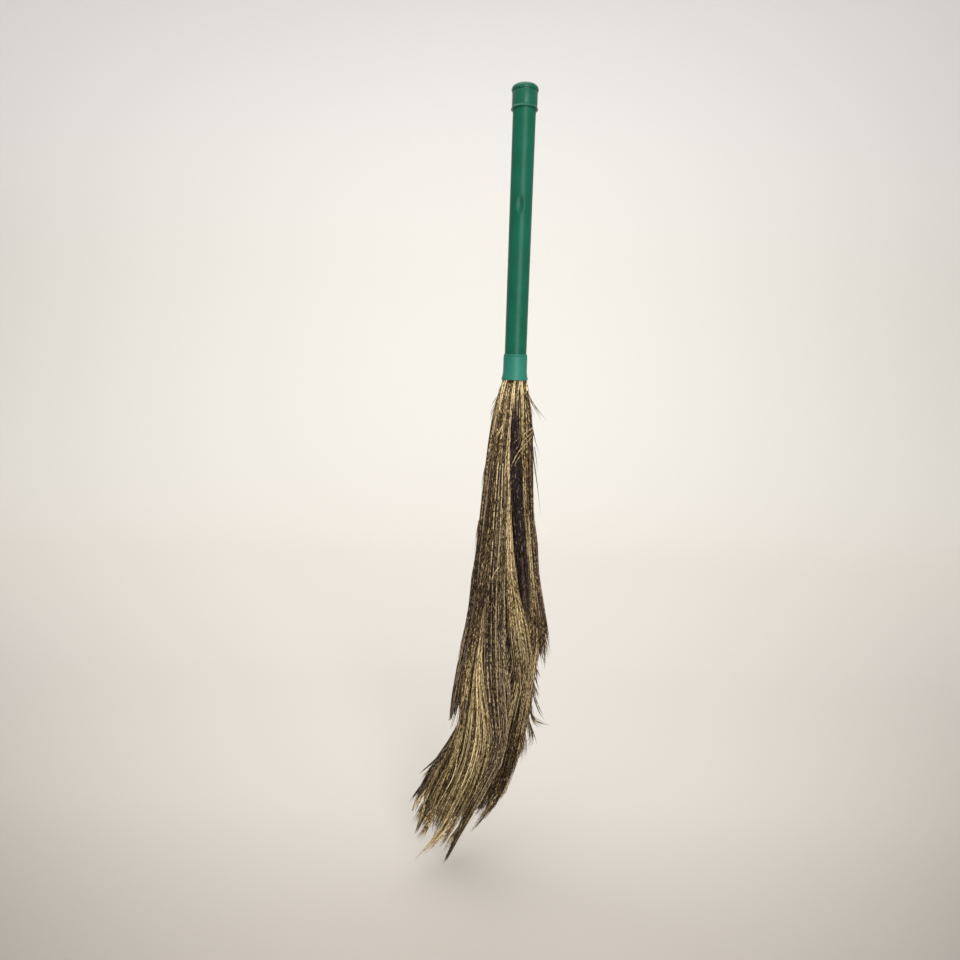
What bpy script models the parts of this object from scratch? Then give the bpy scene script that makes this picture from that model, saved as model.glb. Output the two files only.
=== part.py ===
"""Grass broom: long dried grass stems in a plastic tube handle, hanging as a swept skirt.

The stems' lower ends are packed round a bamboo peg, tied with wire and pushed into the tube.
A domed cap is a push fit over the tube's top, and a flared collar over its lower end.
The tube's axis is Z, with the origin at its middle, where a hand holds it.
The broom's front looks towards -Y, and the skirt sweeps towards -X at its tips.
"""

import math

import bmesh
import bpy
from mathutils import Vector

COLLECTION_NAME = "grass_broom"

# Clearance between solids that touch on the real broom
SEAT_GAP = 0.0003
MERGE_DISTANCE = 0.00001
MILLIMETRES_IN_A_METRE = 1000
SMOOTH_ANGLE = math.radians(35)

# Handle tube
TUBE_LENGTH = 0.305
TUBE_RADIUS = 0.013
TUBE_WALL = 0.0012
TUBE_SIDES = 48

# Dent pressed in the front of the tube
FRONT_ANGLE = math.radians(262)
DENT_RISE = 0.032
DENT_HALF_WIDTH = 0.0058
DENT_HALF_HEIGHT = 0.0125
DENT_DEPTH = 0.0018
DENT_RING_SHARES = (-1.0, -0.75, -0.5, -0.25, 0.0, 0.25, 0.5, 0.75, 1.0)

# End cap
CAP_LAP = 0.0178
CAP_WALL = 0.0011
CAP_ROOF = 0.0016
CAP_LEDGE_WIDTH = 0.0018
CAP_ROLL_RADIUS = 0.0016
CAP_ROLL_PROUD = 0.0008
CAP_ROLL_RISE = 0.0023
CAP_DOME_HEIGHT = 0.0061
CAP_DOME_POWER = 0.83
CAP_CROWN_RADIUS = 0.005
CAP_NECK_HEIGHT = 0.0014
CAP_NECK_DEPTH = 0.0005
CAP_LIP_HEIGHT = 0.0035
CAP_LIP_PROUD = 0.0008
CAP_LIP_EDGE = 0.0008

# End collar
COLLAR_LAP = 0.0176
COLLAR_DROP = 0.0125
COLLAR_WALL = 0.0010
COLLAR_BEAD_HEIGHT = 0.0022
COLLAR_BEAD_PROUD = 0.0004
COLLAR_STEP_HEIGHT = 0.0008
COLLAR_STEP_WIDTH = 0.0006
COLLAR_FLARE_HEIGHT = 0.0120
COLLAR_FLARE = 0.0018
COLLAR_LIP = 0.0009
COLLAR_THROAT_DROP = 0.0045
TURNED_STEPS = 36
ROLL_STEPS = 6
DOME_STEPS = 8
FLARE_STEPS = 5

# Tie wire
TIE_WIRE_RADIUS = 0.00035
TIE_TURN_GAP = 0.0006
TIE_TURNS = 3
TIE_DROP = 0.104
POINTS_A_TURN = 24

# Stems packed in the tube: one peg, a ring of six and a ring of twelve
INNER_STALKS = 6
OUTER_STALKS = 12
STALK_SIDES = 8
STALK_JOINT_PROUD = 0.00015
STALK_JOINT_HALF_HEIGHT = 0.003
STALK_TOP_DROP = 0.0175
STALK_TOP_SPREAD = 0.016
STALK_JOINT_SHARES = (0.36, 0.62, 0.47, 0.78, 0.29, 0.55)

# Bamboo peg
PEG_LENGTH = 0.24
PEG_TOP_DROP = 0.012
PEG_POINT_LENGTH = 0.045
PEG_TIP_RADIUS = 0.0005
PEG_BEVEL = 0.0007

# Grass skirt, below the collar
SKIRT_LENGTH = 0.66
SKIRT_HALF_WIDTH = 0.060
SKIRT_HALF_DEPTH = 0.040
SKIRT_SWEEP = 0.092
ROOT_RISE = 0.0015
TAPER_LENGTH = 0.13
RING_SPLIT_SHARE = 0.60
HOLE_SHARE = 0.14
TIP_SPREAD_SHARE = 0.09
TIP_SNAP_SHARE = 0.03
LONG_RUN_SHARE = 0.394
GOLDEN_SHARE = 0.618034

# Skirt's cross-sections: shares of length, half width, half depth and sweep, and the lean in degrees
SECTION_SHARES = (
    (0.06, 0.43, 0.55, 0.01, 0),
    (0.62, 0.96, 0.92, 0.06, 3),
    (0.74, 1.00, 1.00, 0.22, 14),
    (0.85, 0.92, 1.00, 0.59, 27),
    (1.00, 0.76, 0.85, 1.00, 25),
)
# Share of its cell that a strand fills, at the root and at each cross-section
FILL_SHARES = (1.0, 0.80, 0.72, 0.68, 0.64)
# Reach of each hank's longest strand, as a share of the skirt's length
OUTER_TIP_SHARES = (1.0, 0.52, 0.91, 0.54, 0.82, 0.90, 0.95, 0.97, 0.92, 0.90, 0.70, 0.97)
INNER_TIP_SHARES = (0.72, 0.93, 0.93, 0.92, 0.95, 0.97)
OUTER_GRID = (5, 2)
INNER_GRID = (3, 2)

# Heights and radii that follow from the sizes above
TUBE_TOP = TUBE_LENGTH / 2
TUBE_BOTTOM = -TUBE_LENGTH / 2
TUBE_BORE_RADIUS = TUBE_RADIUS - TUBE_WALL
SLEEVE_BORE_RADIUS = TUBE_RADIUS + SEAT_GAP
MOUTH_HEIGHT = TUBE_BOTTOM - COLLAR_DROP
THROAT_HEIGHT = TUBE_BOTTOM - COLLAR_THROAT_DROP
MOUTH_RADIUS = SLEEVE_BORE_RADIUS + COLLAR_WALL + COLLAR_FLARE - COLLAR_LIP
BUNDLE_RADIUS = TUBE_BORE_RADIUS - 2 * SEAT_GAP - 2 * TIE_WIRE_RADIUS
# Twelve touching circles in a ring have their centres on this many centre distances
RING_RATIO = 1 / (2 * math.sin(math.pi / OUTER_STALKS))
STALK_RADIUS = (BUNDLE_RADIUS - RING_RATIO * SEAT_GAP) / (2 * RING_RATIO + 1)
STALK_SPACING = 2 * STALK_RADIUS + SEAT_GAP

COLOURS = {
    "tube_green_plastic": ((0.012, 0.150, 0.086), 0.30, 0.0),
    "cap_green_plastic": ((0.012, 0.135, 0.080), 0.28, 0.0),
    "collar_green_plastic": ((0.040, 0.285, 0.190), 0.45, 0.0),
    "galvanised_wire": ((0.45, 0.45, 0.43), 0.35, 1.0),
    "split_bamboo": ((0.50, 0.37, 0.18), 0.60, 0.0),
    "tan_stem": ((0.47, 0.35, 0.17), 0.65, 0.0),
    "brown_grass": ((0.075, 0.048, 0.030), 0.80, 0.0),
    "grey_brown_grass": ((0.130, 0.095, 0.060), 0.80, 0.0),
    "olive_grass": ((0.330, 0.240, 0.095), 0.75, 0.0),
    "straw_grass": ((0.430, 0.300, 0.110), 0.75, 0.0),
    "purple_brown_grass": ((0.040, 0.022, 0.026), 0.80, 0.0),
}
OUTER_GRASSES = (
    "grey_brown_grass", "purple_brown_grass", "olive_grass", "brown_grass", "grey_brown_grass",
    "brown_grass", "grey_brown_grass", "olive_grass", "brown_grass", "purple_brown_grass",
    "brown_grass", "olive_grass",
)
INNER_GRASSES = (
    "straw_grass", "grey_brown_grass", "brown_grass", "grey_brown_grass", "brown_grass",
    "olive_grass",
)


def clear_scene():
    """Remove every object and mesh that the file opened with."""
    for item in list(bpy.data.objects):
        bpy.data.objects.remove(item, do_unlink=True)
    for mesh in list(bpy.data.meshes):
        bpy.data.meshes.remove(mesh)


def material(name):
    """Return the named material, made on its first use."""
    made = bpy.data.materials.get(name)
    if made is None:
        colour, roughness, metallic = COLOURS[name]
        made = bpy.data.materials.new(name)
        made.use_nodes = True
        shader = made.node_tree.nodes["Principled BSDF"]
        shader.inputs["Base Color"].default_value = (*colour, 1.0)
        shader.inputs["Roughness"].default_value = roughness
        shader.inputs["Metallic"].default_value = metallic
        made.diffuse_color = (*colour, 1.0)
    return made


def add_object(name, data, parent, finish):
    """Put mesh or curve data in the scene as a named sub-part."""
    item = bpy.data.objects.new(name, data)
    bpy.data.collections[COLLECTION_NAME].objects.link(item)
    item.parent = parent
    data.materials.append(material(finish))
    return item


def add_empty(name, parent, height):
    """Put an empty on the tube's axis to carry sub-parts."""
    empty = bpy.data.objects.new(name, None)
    bpy.data.collections[COLLECTION_NAME].objects.link(empty)
    empty.parent = parent
    empty.location = (0, 0, height)
    return empty


def turned(name, profile, steps, closed, parent, finish):
    """Turn a profile of (radius, height) points about Z.

    The profile runs down the outer side. A closed one makes a ring, an open one starts and
    ends on the axis.
    """
    outline = bpy.data.meshes.new(name + "_profile")
    points = [(radius, 0, height) for radius, height in profile]
    edges = [(start, start + 1) for start in range(len(points) - 1)]
    if closed:
        edges.append((len(points) - 1, 0))
    outline.from_pydata(points, edges, [])
    item = add_object(name, outline, parent, finish)
    screw = item.modifiers.new("Turn", "SCREW")
    screw.steps = steps
    screw.render_steps = steps
    screw.use_merge_vertices = True
    screw.merge_threshold = MERGE_DISTANCE
    screw.use_smooth_shade = True
    bpy.context.view_layer.update()
    evaluated = item.evaluated_get(bpy.context.evaluated_depsgraph_get())
    solid = bpy.data.meshes.new_from_object(evaluated)
    solid.name = name
    item.modifiers.clear()
    item.data = solid
    bpy.data.meshes.remove(outline)
    solid.shade_smooth()
    solid.set_sharp_from_angle(angle=SMOOTH_ANGLE)
    return item


def arc(centre_radius, centre_height, across, up, start, end, steps):
    """Points on an elliptical arc in the profile plane, from one angle to another in degrees."""
    points = []
    for step in range(steps + 1):
        angle = math.radians(start + (end - start) * step / steps)
        points.append((centre_radius + across * math.cos(angle), centre_height + up * math.sin(angle)))
    return points


def dome(centre_radius, centre_height, across, up, power, steps):
    """Points from a dome's crown down to its widest line. A power under 1 is fuller than an ellipse."""
    points = [(centre_radius, centre_height + up)]
    for step in range(1, steps):
        angle = math.radians(90 * step / steps)
        reach = across * math.sin(angle) ** power
        points.append((centre_radius + reach, centre_height + up * math.cos(angle) ** power))
    return points + [(centre_radius + across, centre_height)]


def dent_depth(around, height):
    """How far the wall is pushed in, by arc length round the tube and height from the dent."""
    distance = (around / DENT_HALF_WIDTH) ** 2 + (height / DENT_HALF_HEIGHT) ** 2
    if distance >= 1:
        return 0
    return DENT_DEPTH * (1 - distance) ** 2


def make_handle_tube(parent):
    """The straight tube, open at both ends, with the dent on its local +X side."""
    shell = bmesh.new()
    bmesh.ops.create_cone(
        shell, cap_ends=False, segments=TUBE_SIDES,
        radius1=TUBE_RADIUS, radius2=TUBE_RADIUS, depth=TUBE_LENGTH,
    )
    for share in DENT_RING_SHARES:
        level = Vector((0, 0, DENT_RISE + share * DENT_HALF_HEIGHT))
        everything = shell.verts[:] + shell.edges[:] + shell.faces[:]
        bmesh.ops.bisect_plane(shell, geom=everything, plane_co=level, plane_no=(0, 0, 1))
    for vertex in shell.verts:
        around = math.atan2(vertex.co.y, vertex.co.x) * TUBE_RADIUS
        depth = dent_depth(around, vertex.co.z - DENT_RISE)
        share = 1 - depth / TUBE_RADIUS
        vertex.co.x *= share
        vertex.co.y *= share
    mesh = bpy.data.meshes.new("handle_tube")
    shell.to_mesh(mesh)
    shell.free()
    mesh.shade_smooth()
    mesh.set_sharp_from_angle(angle=SMOOTH_ANGLE)
    tube = add_object("handle_tube", mesh, parent, "tube_green_plastic")
    tube.rotation_euler.z = FRONT_ANGLE
    wall = tube.modifiers.new("Wall", "SOLIDIFY")
    wall.thickness = TUBE_WALL
    wall.offset = -1
    wall.use_even_offset = True
    return tube


def make_end_cap(parent):
    """The domed cap: a rolled rim over a neck, a sleeve round the tube and a flared lip."""
    sleeve = SLEEVE_BORE_RADIUS + CAP_WALL
    roll_centre = sleeve + CAP_ROLL_PROUD - CAP_ROLL_RADIUS
    crown = CAP_ROLL_RISE + CAP_DOME_HEIGHT
    neck_top = CAP_ROLL_RISE - CAP_ROLL_RADIUS
    profile = [(0, crown)]
    profile += dome(
        CAP_CROWN_RADIUS, CAP_ROLL_RISE, sleeve + CAP_ROLL_PROUD - CAP_CROWN_RADIUS,
        CAP_DOME_HEIGHT, CAP_DOME_POWER, DOME_STEPS,
    )
    profile += arc(
        roll_centre, CAP_ROLL_RISE, CAP_ROLL_RADIUS, CAP_ROLL_RADIUS, -20, -60, 2,
    )
    profile.append((sleeve - CAP_NECK_DEPTH, neck_top))
    profile.append((sleeve - CAP_NECK_DEPTH, neck_top - CAP_NECK_HEIGHT / 2))
    profile.append((sleeve, neck_top - CAP_NECK_HEIGHT))
    for step in range(FLARE_STEPS):
        share = step / (FLARE_STEPS - 1)
        height = CAP_LIP_EDGE - CAP_LAP + (CAP_LIP_HEIGHT - CAP_LIP_EDGE) * (1 - share)
        profile.append((sleeve + CAP_LIP_PROUD * share ** 2, height))
    profile.append((sleeve + CAP_LIP_PROUD, -CAP_LAP))
    profile.append((SLEEVE_BORE_RADIUS, -CAP_LAP))
    profile.append((SLEEVE_BORE_RADIUS, SEAT_GAP))
    hollow = SLEEVE_BORE_RADIUS - CAP_LEDGE_WIDTH
    profile.append((hollow, SEAT_GAP))
    profile += arc(0, CAP_ROLL_RISE, hollow, crown - CAP_ROOF - CAP_ROLL_RISE, 0, 90, FLARE_STEPS)
    profile[-1] = (0, crown - CAP_ROOF)
    cap = turned("end_cap", profile, TURNED_STEPS, False, parent, "cap_green_plastic")
    cap.location.z = TUBE_TOP
    return cap


def make_end_collar(parent):
    """The collar: a beaded top edge, a sleeve round the tube, a throat and a flared mouth."""
    sleeve = SLEEVE_BORE_RADIUS + COLLAR_WALL
    neck = sleeve - COLLAR_STEP_WIDTH
    bead = COLLAR_BEAD_HEIGHT / 2
    profile = [(neck, COLLAR_LAP)]
    profile += arc(neck, COLLAR_LAP - bead, COLLAR_BEAD_PROUD, bead, 60, -60, ROLL_STEPS)
    profile.append((neck, COLLAR_LAP - COLLAR_BEAD_HEIGHT))
    profile.append((sleeve, COLLAR_LAP - COLLAR_BEAD_HEIGHT - COLLAR_STEP_HEIGHT))
    for step in range(FLARE_STEPS + 1):
        share = step / FLARE_STEPS
        height = COLLAR_FLARE_HEIGHT * (1 - share) - COLLAR_DROP
        profile.append((sleeve + COLLAR_FLARE * share ** 2, height))
    profile.append((MOUTH_RADIUS, -COLLAR_DROP))
    profile.append((TUBE_BORE_RADIUS, -COLLAR_THROAT_DROP))
    profile.append((TUBE_BORE_RADIUS, -SEAT_GAP))
    profile.append((SLEEVE_BORE_RADIUS, -SEAT_GAP))
    profile.append((SLEEVE_BORE_RADIUS, COLLAR_LAP))
    collar = turned("end_collar", profile, TURNED_STEPS, True, parent, "collar_green_plastic")
    collar.location.z = TUBE_BOTTOM
    return collar


def make_stalk(name, angle, ring_radius, length, joint_share, parent):
    """One straight stem with a swollen joint, standing on the skirt's roots."""
    body = STALK_RADIUS - STALK_JOINT_PROUD
    joint = length * joint_share
    profile = [
        (0, length),
        (body, length),
        (body, joint + STALK_JOINT_HALF_HEIGHT),
        (STALK_RADIUS, joint),
        (body, joint - STALK_JOINT_HALF_HEIGHT),
        (body, 0),
        (0, 0),
    ]
    stalk = turned(name, profile, STALK_SIDES, False, parent, "tan_stem")
    stalk.location = (
        ring_radius * math.cos(angle), ring_radius * math.sin(angle), THROAT_HEIGHT + SEAT_GAP,
    )
    stalk.rotation_euler.z = angle
    return stalk


def make_stalks(parent):
    """The rings of stems round the peg. The first outer one stops short, under the dent."""
    full = TUBE_TOP - STALK_TOP_DROP - THROAT_HEIGHT - SEAT_GAP
    under_dent = DENT_RISE - DENT_HALF_HEIGHT - DENT_DEPTH - THROAT_HEIGHT - SEAT_GAP
    for number in range(OUTER_STALKS):
        angle = FRONT_ANGLE + math.tau * number / OUTER_STALKS
        length = full - STALK_TOP_SPREAD * (number * GOLDEN_SHARE % 1)
        if number == 0:
            length = under_dent
        joint_share = STALK_JOINT_SHARES[number % len(STALK_JOINT_SHARES)]
        name = f"outer_stalk_{number + 1:02d}"
        make_stalk(name, angle, STALK_SPACING * RING_RATIO, length, joint_share, parent)
    for number in range(INNER_STALKS):
        angle = FRONT_ANGLE + math.tau * (number / INNER_STALKS + 1 / (2 * OUTER_STALKS))
        length = full - STALK_TOP_SPREAD * ((number + 1 / 2) * GOLDEN_SHARE % 1)
        joint_share = STALK_JOINT_SHARES[-1 - number % len(STALK_JOINT_SHARES)]
        make_stalk(f"inner_stalk_{number + 1}", angle, STALK_SPACING, length, joint_share, parent)


def make_bamboo_peg(parent):
    """The pointed peg driven down the middle of the packed stems."""
    profile = [
        (0, PEG_LENGTH),
        (STALK_RADIUS - PEG_BEVEL, PEG_LENGTH),
        (STALK_RADIUS, PEG_LENGTH - PEG_BEVEL),
        (STALK_RADIUS, PEG_POINT_LENGTH),
        (PEG_TIP_RADIUS, 0),
        (0, 0),
    ]
    peg = turned("bamboo_core_peg", profile, STALK_SIDES, False, parent, "split_bamboo")
    peg.location.z = TUBE_TOP - PEG_TOP_DROP - PEG_LENGTH
    return peg


def tie_wire_points():
    """The wire's centre line: close turns, with a straight run of one diameter at each end."""
    radius = BUNDLE_RADIUS + SEAT_GAP + TIE_WIRE_RADIUS
    pitch = 2 * TIE_WIRE_RADIUS + TIE_TURN_GAP
    points = []
    for step in range(TIE_TURNS * POINTS_A_TURN + 1):
        turn = step / POINTS_A_TURN
        angle = math.tau * turn
        height = pitch * (turn - TIE_TURNS / 2)
        points.append(Vector((radius * math.cos(angle), radius * math.sin(angle), height)))
    first = (points[0] - points[1]).normalized() * 2 * TIE_WIRE_RADIUS
    last = (points[-1] - points[-2]).normalized() * 2 * TIE_WIRE_RADIUS
    return [points[0] + first] + points + [points[-1] + last]


def least_gap(points, radius, skipped):
    """Least clear distance of a round wire to itself, between points more than some apart."""
    distances = []
    for index, point in enumerate(points):
        distances += [(point - other).length for other in points[index + skipped:]]
    return min(distances) - 2 * radius


def make_tie_wire(parent):
    """The wire wound round the packed stems inside the tube."""
    points = tie_wire_points()
    gap = least_gap(points, TIE_WIRE_RADIUS, POINTS_A_TURN // 2)
    print(f"tie_wire: least gap to itself {gap * MILLIMETRES_IN_A_METRE:.2f} mm")
    curve = bpy.data.curves.new("tie_wire", "CURVE")
    curve.dimensions = "3D"
    curve.bevel_depth = TIE_WIRE_RADIUS
    curve.bevel_resolution = 1
    curve.render_resolution_u = 0
    curve.use_fill_caps = True
    spline = curve.splines.new("POLY")
    spline.points.add(len(points) - 1)
    for target, point in zip(spline.points, points):
        target.co = (*point, 1)
    wire = add_object("tie_wire", curve, parent, "galvanised_wire")
    wire.location.z = -TIE_DROP
    return wire


def skirt_sections():
    """The skirt's cross-sections from throat to tips: centre, half width, half depth, lean.

    Heights are from the collar's mouth. The first two lie inside the collar, clear of its wall.
    """
    throat = TUBE_BORE_RADIUS - SEAT_GAP
    cone_share = ROOT_RISE / (MOUTH_HEIGHT - THROAT_HEIGHT)
    root = MOUTH_RADIUS + (MOUTH_RADIUS - TUBE_BORE_RADIUS) * cone_share - SEAT_GAP
    sections = [
        (Vector((0, 0, THROAT_HEIGHT - MOUTH_HEIGHT)), throat, throat, 0),
        (Vector((0, 0, ROOT_RISE)), root, root, 0),
    ]
    for length_share, width_share, depth_share, sweep_share, lean in SECTION_SHARES:
        centre = Vector((-SKIRT_SWEEP * sweep_share, 0, -SKIRT_LENGTH * length_share))
        half_width = SKIRT_HALF_WIDTH * width_share
        half_depth = SKIRT_HALF_DEPTH * depth_share
        sections.append((centre, half_width, half_depth, math.radians(lean)))
    return sections


def place(sections, across, back, level):
    """Carry a point of the round plan, of radius 1, to its place in the skirt.

    Level 0 is the root and -1 the throat. Between cross-sections a point moves on a straight
    line, so strands that lie apart in the plan never cross.
    """
    index = min(int(level + 1), len(sections) - 2)
    share = level + 1 - index
    ends = []
    for centre, half_width, half_depth, lean in sections[index:index + 2]:
        reach = across * half_width
        ends.append(centre + Vector((reach * math.cos(lean), back * half_depth, -reach * math.sin(lean))))
    return ends[0].lerp(ends[1], share)


def level_of(length_share):
    """The level, counted in cross-sections, at a share of the skirt's length."""
    before = 0
    for number, row in enumerate(SECTION_SHARES):
        if length_share <= row[0]:
            return number + (length_share - before) / (row[0] - before)
        before = row[0]
    return len(SECTION_SHARES)


def strand_stops(tip_share):
    """Length shares at which a strand has a section, and the share at which it ends.

    A tip just past a cross-section ends on it. A strand that has a long run below its last
    cross-section gets one more section, where its taper starts, at the run's middle or lower.
    """
    stops = []
    for row in SECTION_SHARES:
        if 0 < tip_share - row[0] < TIP_SNAP_SHARE:
            tip_share = row[0]
        if row[0] < tip_share:
            stops.append(row[0])
    run_share = tip_share - stops[-1]
    if run_share > LONG_RUN_SHARE:
        stops.append(tip_share - min(TAPER_LENGTH / SKIRT_LENGTH, run_share / 2))
    return stops, tip_share


def grow_strand(plan, face, tip_share):
    """Extrude one triangle of the slice, section by section, and draw it to a point at its tip."""
    stops, tip_share = strand_stops(tip_share)
    width = 1
    for stop in stops:
        level = level_of(stop)
        left = (tip_share - stop) * SKIRT_LENGTH
        wanted = FILL_SHARES[int(level)] * min(1, math.sqrt(left / TAPER_LENGTH))
        face = bmesh.ops.extrude_discrete_faces(plan, faces=[face])["faces"][0]
        centre = face.calc_center_median()
        for vertex in face.verts:
            vertex.co = centre + (vertex.co - centre) * wanted / width
            vertex.co.z = -level
        width = wanted
    point = bmesh.ops.poke(plan, faces=[face])["verts"][0]
    point.co.z = -level_of(tip_share)


def split_sides(plan):
    """Cut each four-sided face from its upper corner on one side of the plan.

    Facing sides of neighbouring strands are then cut alike, and their halves can't cross.
    """
    for face in [face for face in plan.faces if len(face.verts) == 4]:
        corners = face.verts[:]
        first = min(range(4), key=lambda index: (
            -corners[index].co.z, corners[index].co.x + GOLDEN_SHARE * corners[index].co.y,
        ))
        bmesh.utils.face_split(face, corners[first], corners[first - 2])


def plan_slice(plan, grid, middle_angle, half_angle, inside, outside):
    """Bend a triangulated grid into one sector of the round plan, half a gap in from its sides."""
    columns, rows = grid
    bmesh.ops.create_grid(plan, x_segments=columns, y_segments=rows, size=1)
    bmesh.ops.triangulate(plan, faces=plan.faces[:])
    inset = SEAT_GAP / 2 / (TUBE_BORE_RADIUS - SEAT_GAP)
    for vertex in plan.verts:
        radius = inside + (outside - inside) * (vertex.co.y + 1) / 2
        angle = middle_angle + vertex.co.x * (half_angle - math.asin(inset / radius))
        vertex.co = (radius * math.cos(angle), radius * math.sin(angle), 0)


def make_plume(name, sector, grid, tip_share, parent, finish):
    """One hank: strands hanging from a slice of the packed stems that the collar holds."""
    middle_angle, half_angle, inside, outside = sector
    plan = bmesh.new()
    plan_slice(plan, grid, middle_angle, half_angle, inside, outside)
    for number, face in enumerate(plan.faces[:]):
        spread = TIP_SPREAD_SHARE * ((number + middle_angle) * GOLDEN_SHARE % 1)
        grow_strand(plan, face, tip_share * (1 - spread))
    rim = [edge for edge in plan.edges if edge.is_boundary]
    raised = bmesh.ops.extrude_edge_only(plan, edges=rim)["geom"]
    for vertex in raised:
        if isinstance(vertex, bmesh.types.BMVert):
            vertex.co.z = 1
    top = [edge for edge in raised if isinstance(edge, bmesh.types.BMEdge) and edge.is_boundary]
    bmesh.ops.contextual_create(plan, geom=top)
    split_sides(plan)
    sections = skirt_sections()
    for vertex in plan.verts:
        vertex.co = place(sections, vertex.co.x, vertex.co.y, -vertex.co.z)
    bmesh.ops.recalc_face_normals(plan, faces=plan.faces[:])
    mesh = bpy.data.meshes.new(name)
    plan.to_mesh(mesh)
    plan.free()
    return add_object(name, mesh, parent, finish)


def make_plumes(parent):
    """The ring of outer hanks and the ring of inner ones, which share the skirt between them."""
    inset = SEAT_GAP / 2 / (TUBE_BORE_RADIUS - SEAT_GAP)
    for number, tip_share in enumerate(OUTER_TIP_SHARES):
        count = len(OUTER_TIP_SHARES)
        sector = (
            FRONT_ANGLE + math.tau * number / count, math.pi / count, RING_SPLIT_SHARE + inset, 1,
        )
        name = f"outer_plume_{number + 1:02d}"
        make_plume(name, sector, OUTER_GRID, tip_share, parent, OUTER_GRASSES[number])
    for number, tip_share in enumerate(INNER_TIP_SHARES):
        count = len(INNER_TIP_SHARES)
        sector = (
            FRONT_ANGLE + math.tau * number / count, math.pi / count,
            HOLE_SHARE, RING_SPLIT_SHARE - inset,
        )
        name = f"inner_plume_{number + 1}"
        make_plume(name, sector, INNER_GRID, tip_share, parent, INNER_GRASSES[number])


def main():
    clear_scene()
    collection = bpy.data.collections.new(COLLECTION_NAME)
    bpy.context.scene.collection.children.link(collection)
    broom = add_empty("broom_axis", None, 0)
    skirt = add_empty("skirt_root", broom, MOUTH_HEIGHT)
    make_handle_tube(broom)
    make_end_cap(broom)
    make_end_collar(broom)
    make_stalks(broom)
    make_bamboo_peg(broom)
    make_tie_wire(broom)
    make_plumes(skirt)


main()
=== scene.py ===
"""Grass broom: moulded and extruded plastic, hanks of sun-dried grass and a plain pale studio.

Sizes are real ones in metres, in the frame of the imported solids: +Z runs up the handle, the
broom's front looks towards -Y and the grass sweeps towards -X. "Drop" is the way down from the
collar's mouth.
"""

import math

import bmesh
import bpy
import numpy as np
from mathutils import Matrix, Vector


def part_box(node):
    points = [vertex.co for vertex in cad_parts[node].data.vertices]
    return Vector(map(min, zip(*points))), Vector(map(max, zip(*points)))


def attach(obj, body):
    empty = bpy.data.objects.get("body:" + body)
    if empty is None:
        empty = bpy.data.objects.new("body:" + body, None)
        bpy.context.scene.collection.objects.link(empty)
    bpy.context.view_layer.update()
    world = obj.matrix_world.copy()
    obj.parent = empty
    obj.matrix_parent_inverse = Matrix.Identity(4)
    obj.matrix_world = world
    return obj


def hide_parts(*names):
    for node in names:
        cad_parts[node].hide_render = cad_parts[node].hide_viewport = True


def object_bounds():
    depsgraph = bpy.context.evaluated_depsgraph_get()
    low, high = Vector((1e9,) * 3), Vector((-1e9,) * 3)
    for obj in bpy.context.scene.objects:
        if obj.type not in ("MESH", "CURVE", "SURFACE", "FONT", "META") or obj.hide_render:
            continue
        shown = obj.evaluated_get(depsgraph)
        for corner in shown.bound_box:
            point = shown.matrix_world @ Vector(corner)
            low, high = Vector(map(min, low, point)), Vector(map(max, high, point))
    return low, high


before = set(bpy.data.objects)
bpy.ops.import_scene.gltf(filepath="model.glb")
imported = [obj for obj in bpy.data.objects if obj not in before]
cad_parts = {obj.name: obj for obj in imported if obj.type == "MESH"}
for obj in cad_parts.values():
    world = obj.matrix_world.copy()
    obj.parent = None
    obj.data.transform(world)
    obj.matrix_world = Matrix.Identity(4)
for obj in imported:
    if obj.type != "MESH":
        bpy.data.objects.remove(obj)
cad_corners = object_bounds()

bl_info = {
    "name": "Grass Broom",
    "version": (1, 0, 0),
    "blender": (4, 5, 0),
    "location": "View3D > Sidebar > Broom",
    "description": "Builds the visible pieces of a grass broom round its packed solids",
    "category": "Object",
}

MILLIMETRE = 0.001
BODY = "root"

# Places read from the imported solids
TUBE_LOW, TUBE_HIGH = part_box("handle_tube")
CAP_LOW, CAP_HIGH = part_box("end_cap")
COLLAR_LOW, COLLAR_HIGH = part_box("end_collar")
TUBE_RADIUS = (TUBE_HIGH.x - TUBE_LOW.x) / 2
COLLAR_RADIUS = (COLLAR_HIGH.x - COLLAR_LOW.x) / 2
MOUTH_HEIGHT = COLLAR_LOW.z
SKIRT_LOW = cad_corners[0].z

# Where the broom's front lies, as an angle about the handle's axis
FRONT_ANGLE = math.radians(262)


def srgb(hex_colour):
    """The linear RGBA value of an sRGB hex colour."""
    linear = []
    for start in (1, 3, 5):
        share = int(hex_colour[start:start + 2], 16) / 255
        linear.append(share / 12.92 if share <= 0.04045 else ((share + 0.055) / 1.055) ** 2.4)
    return (*linear, 1.0)


# The skirt's outline seen from the front: drop, left edge, right edge and half depth in mm
OUTLINE_MM = (
    (0, -15, 15, 15), (14, -18, 18, 17), (33, -22.5, 20.5, 19), (72, -28, 25, 23),
    (111, -31.5, 26.5, 26), (152, -35, 29, 29), (193, -37.5, 32.5, 31), (235, -41, 37, 33),
    (277, -45, 43, 35), (323, -51.5, 50, 37), (345, -54.5, 48, 38), (369, -57, 40, 38),
    (416, -60, 38, 38), (440, -54, 35, 38), (464, -57, 31, 38), (488, -70, 28, 37),
    (513, -86, 22, 36), (538, -98, 15, 34), (564, -108, 6, 32), (589, -108, -12, 29),
    (615, -102, -36, 25), (641, -98, -52, 19), (660, -80, -64, 12),
)

# Steps of tone that a stretch of grass adds to its hank's own
BRIGHT, PLAIN, DULL, DARK, DEEP = 0.5, 0.0, -0.3, -0.6, -0.9

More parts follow.
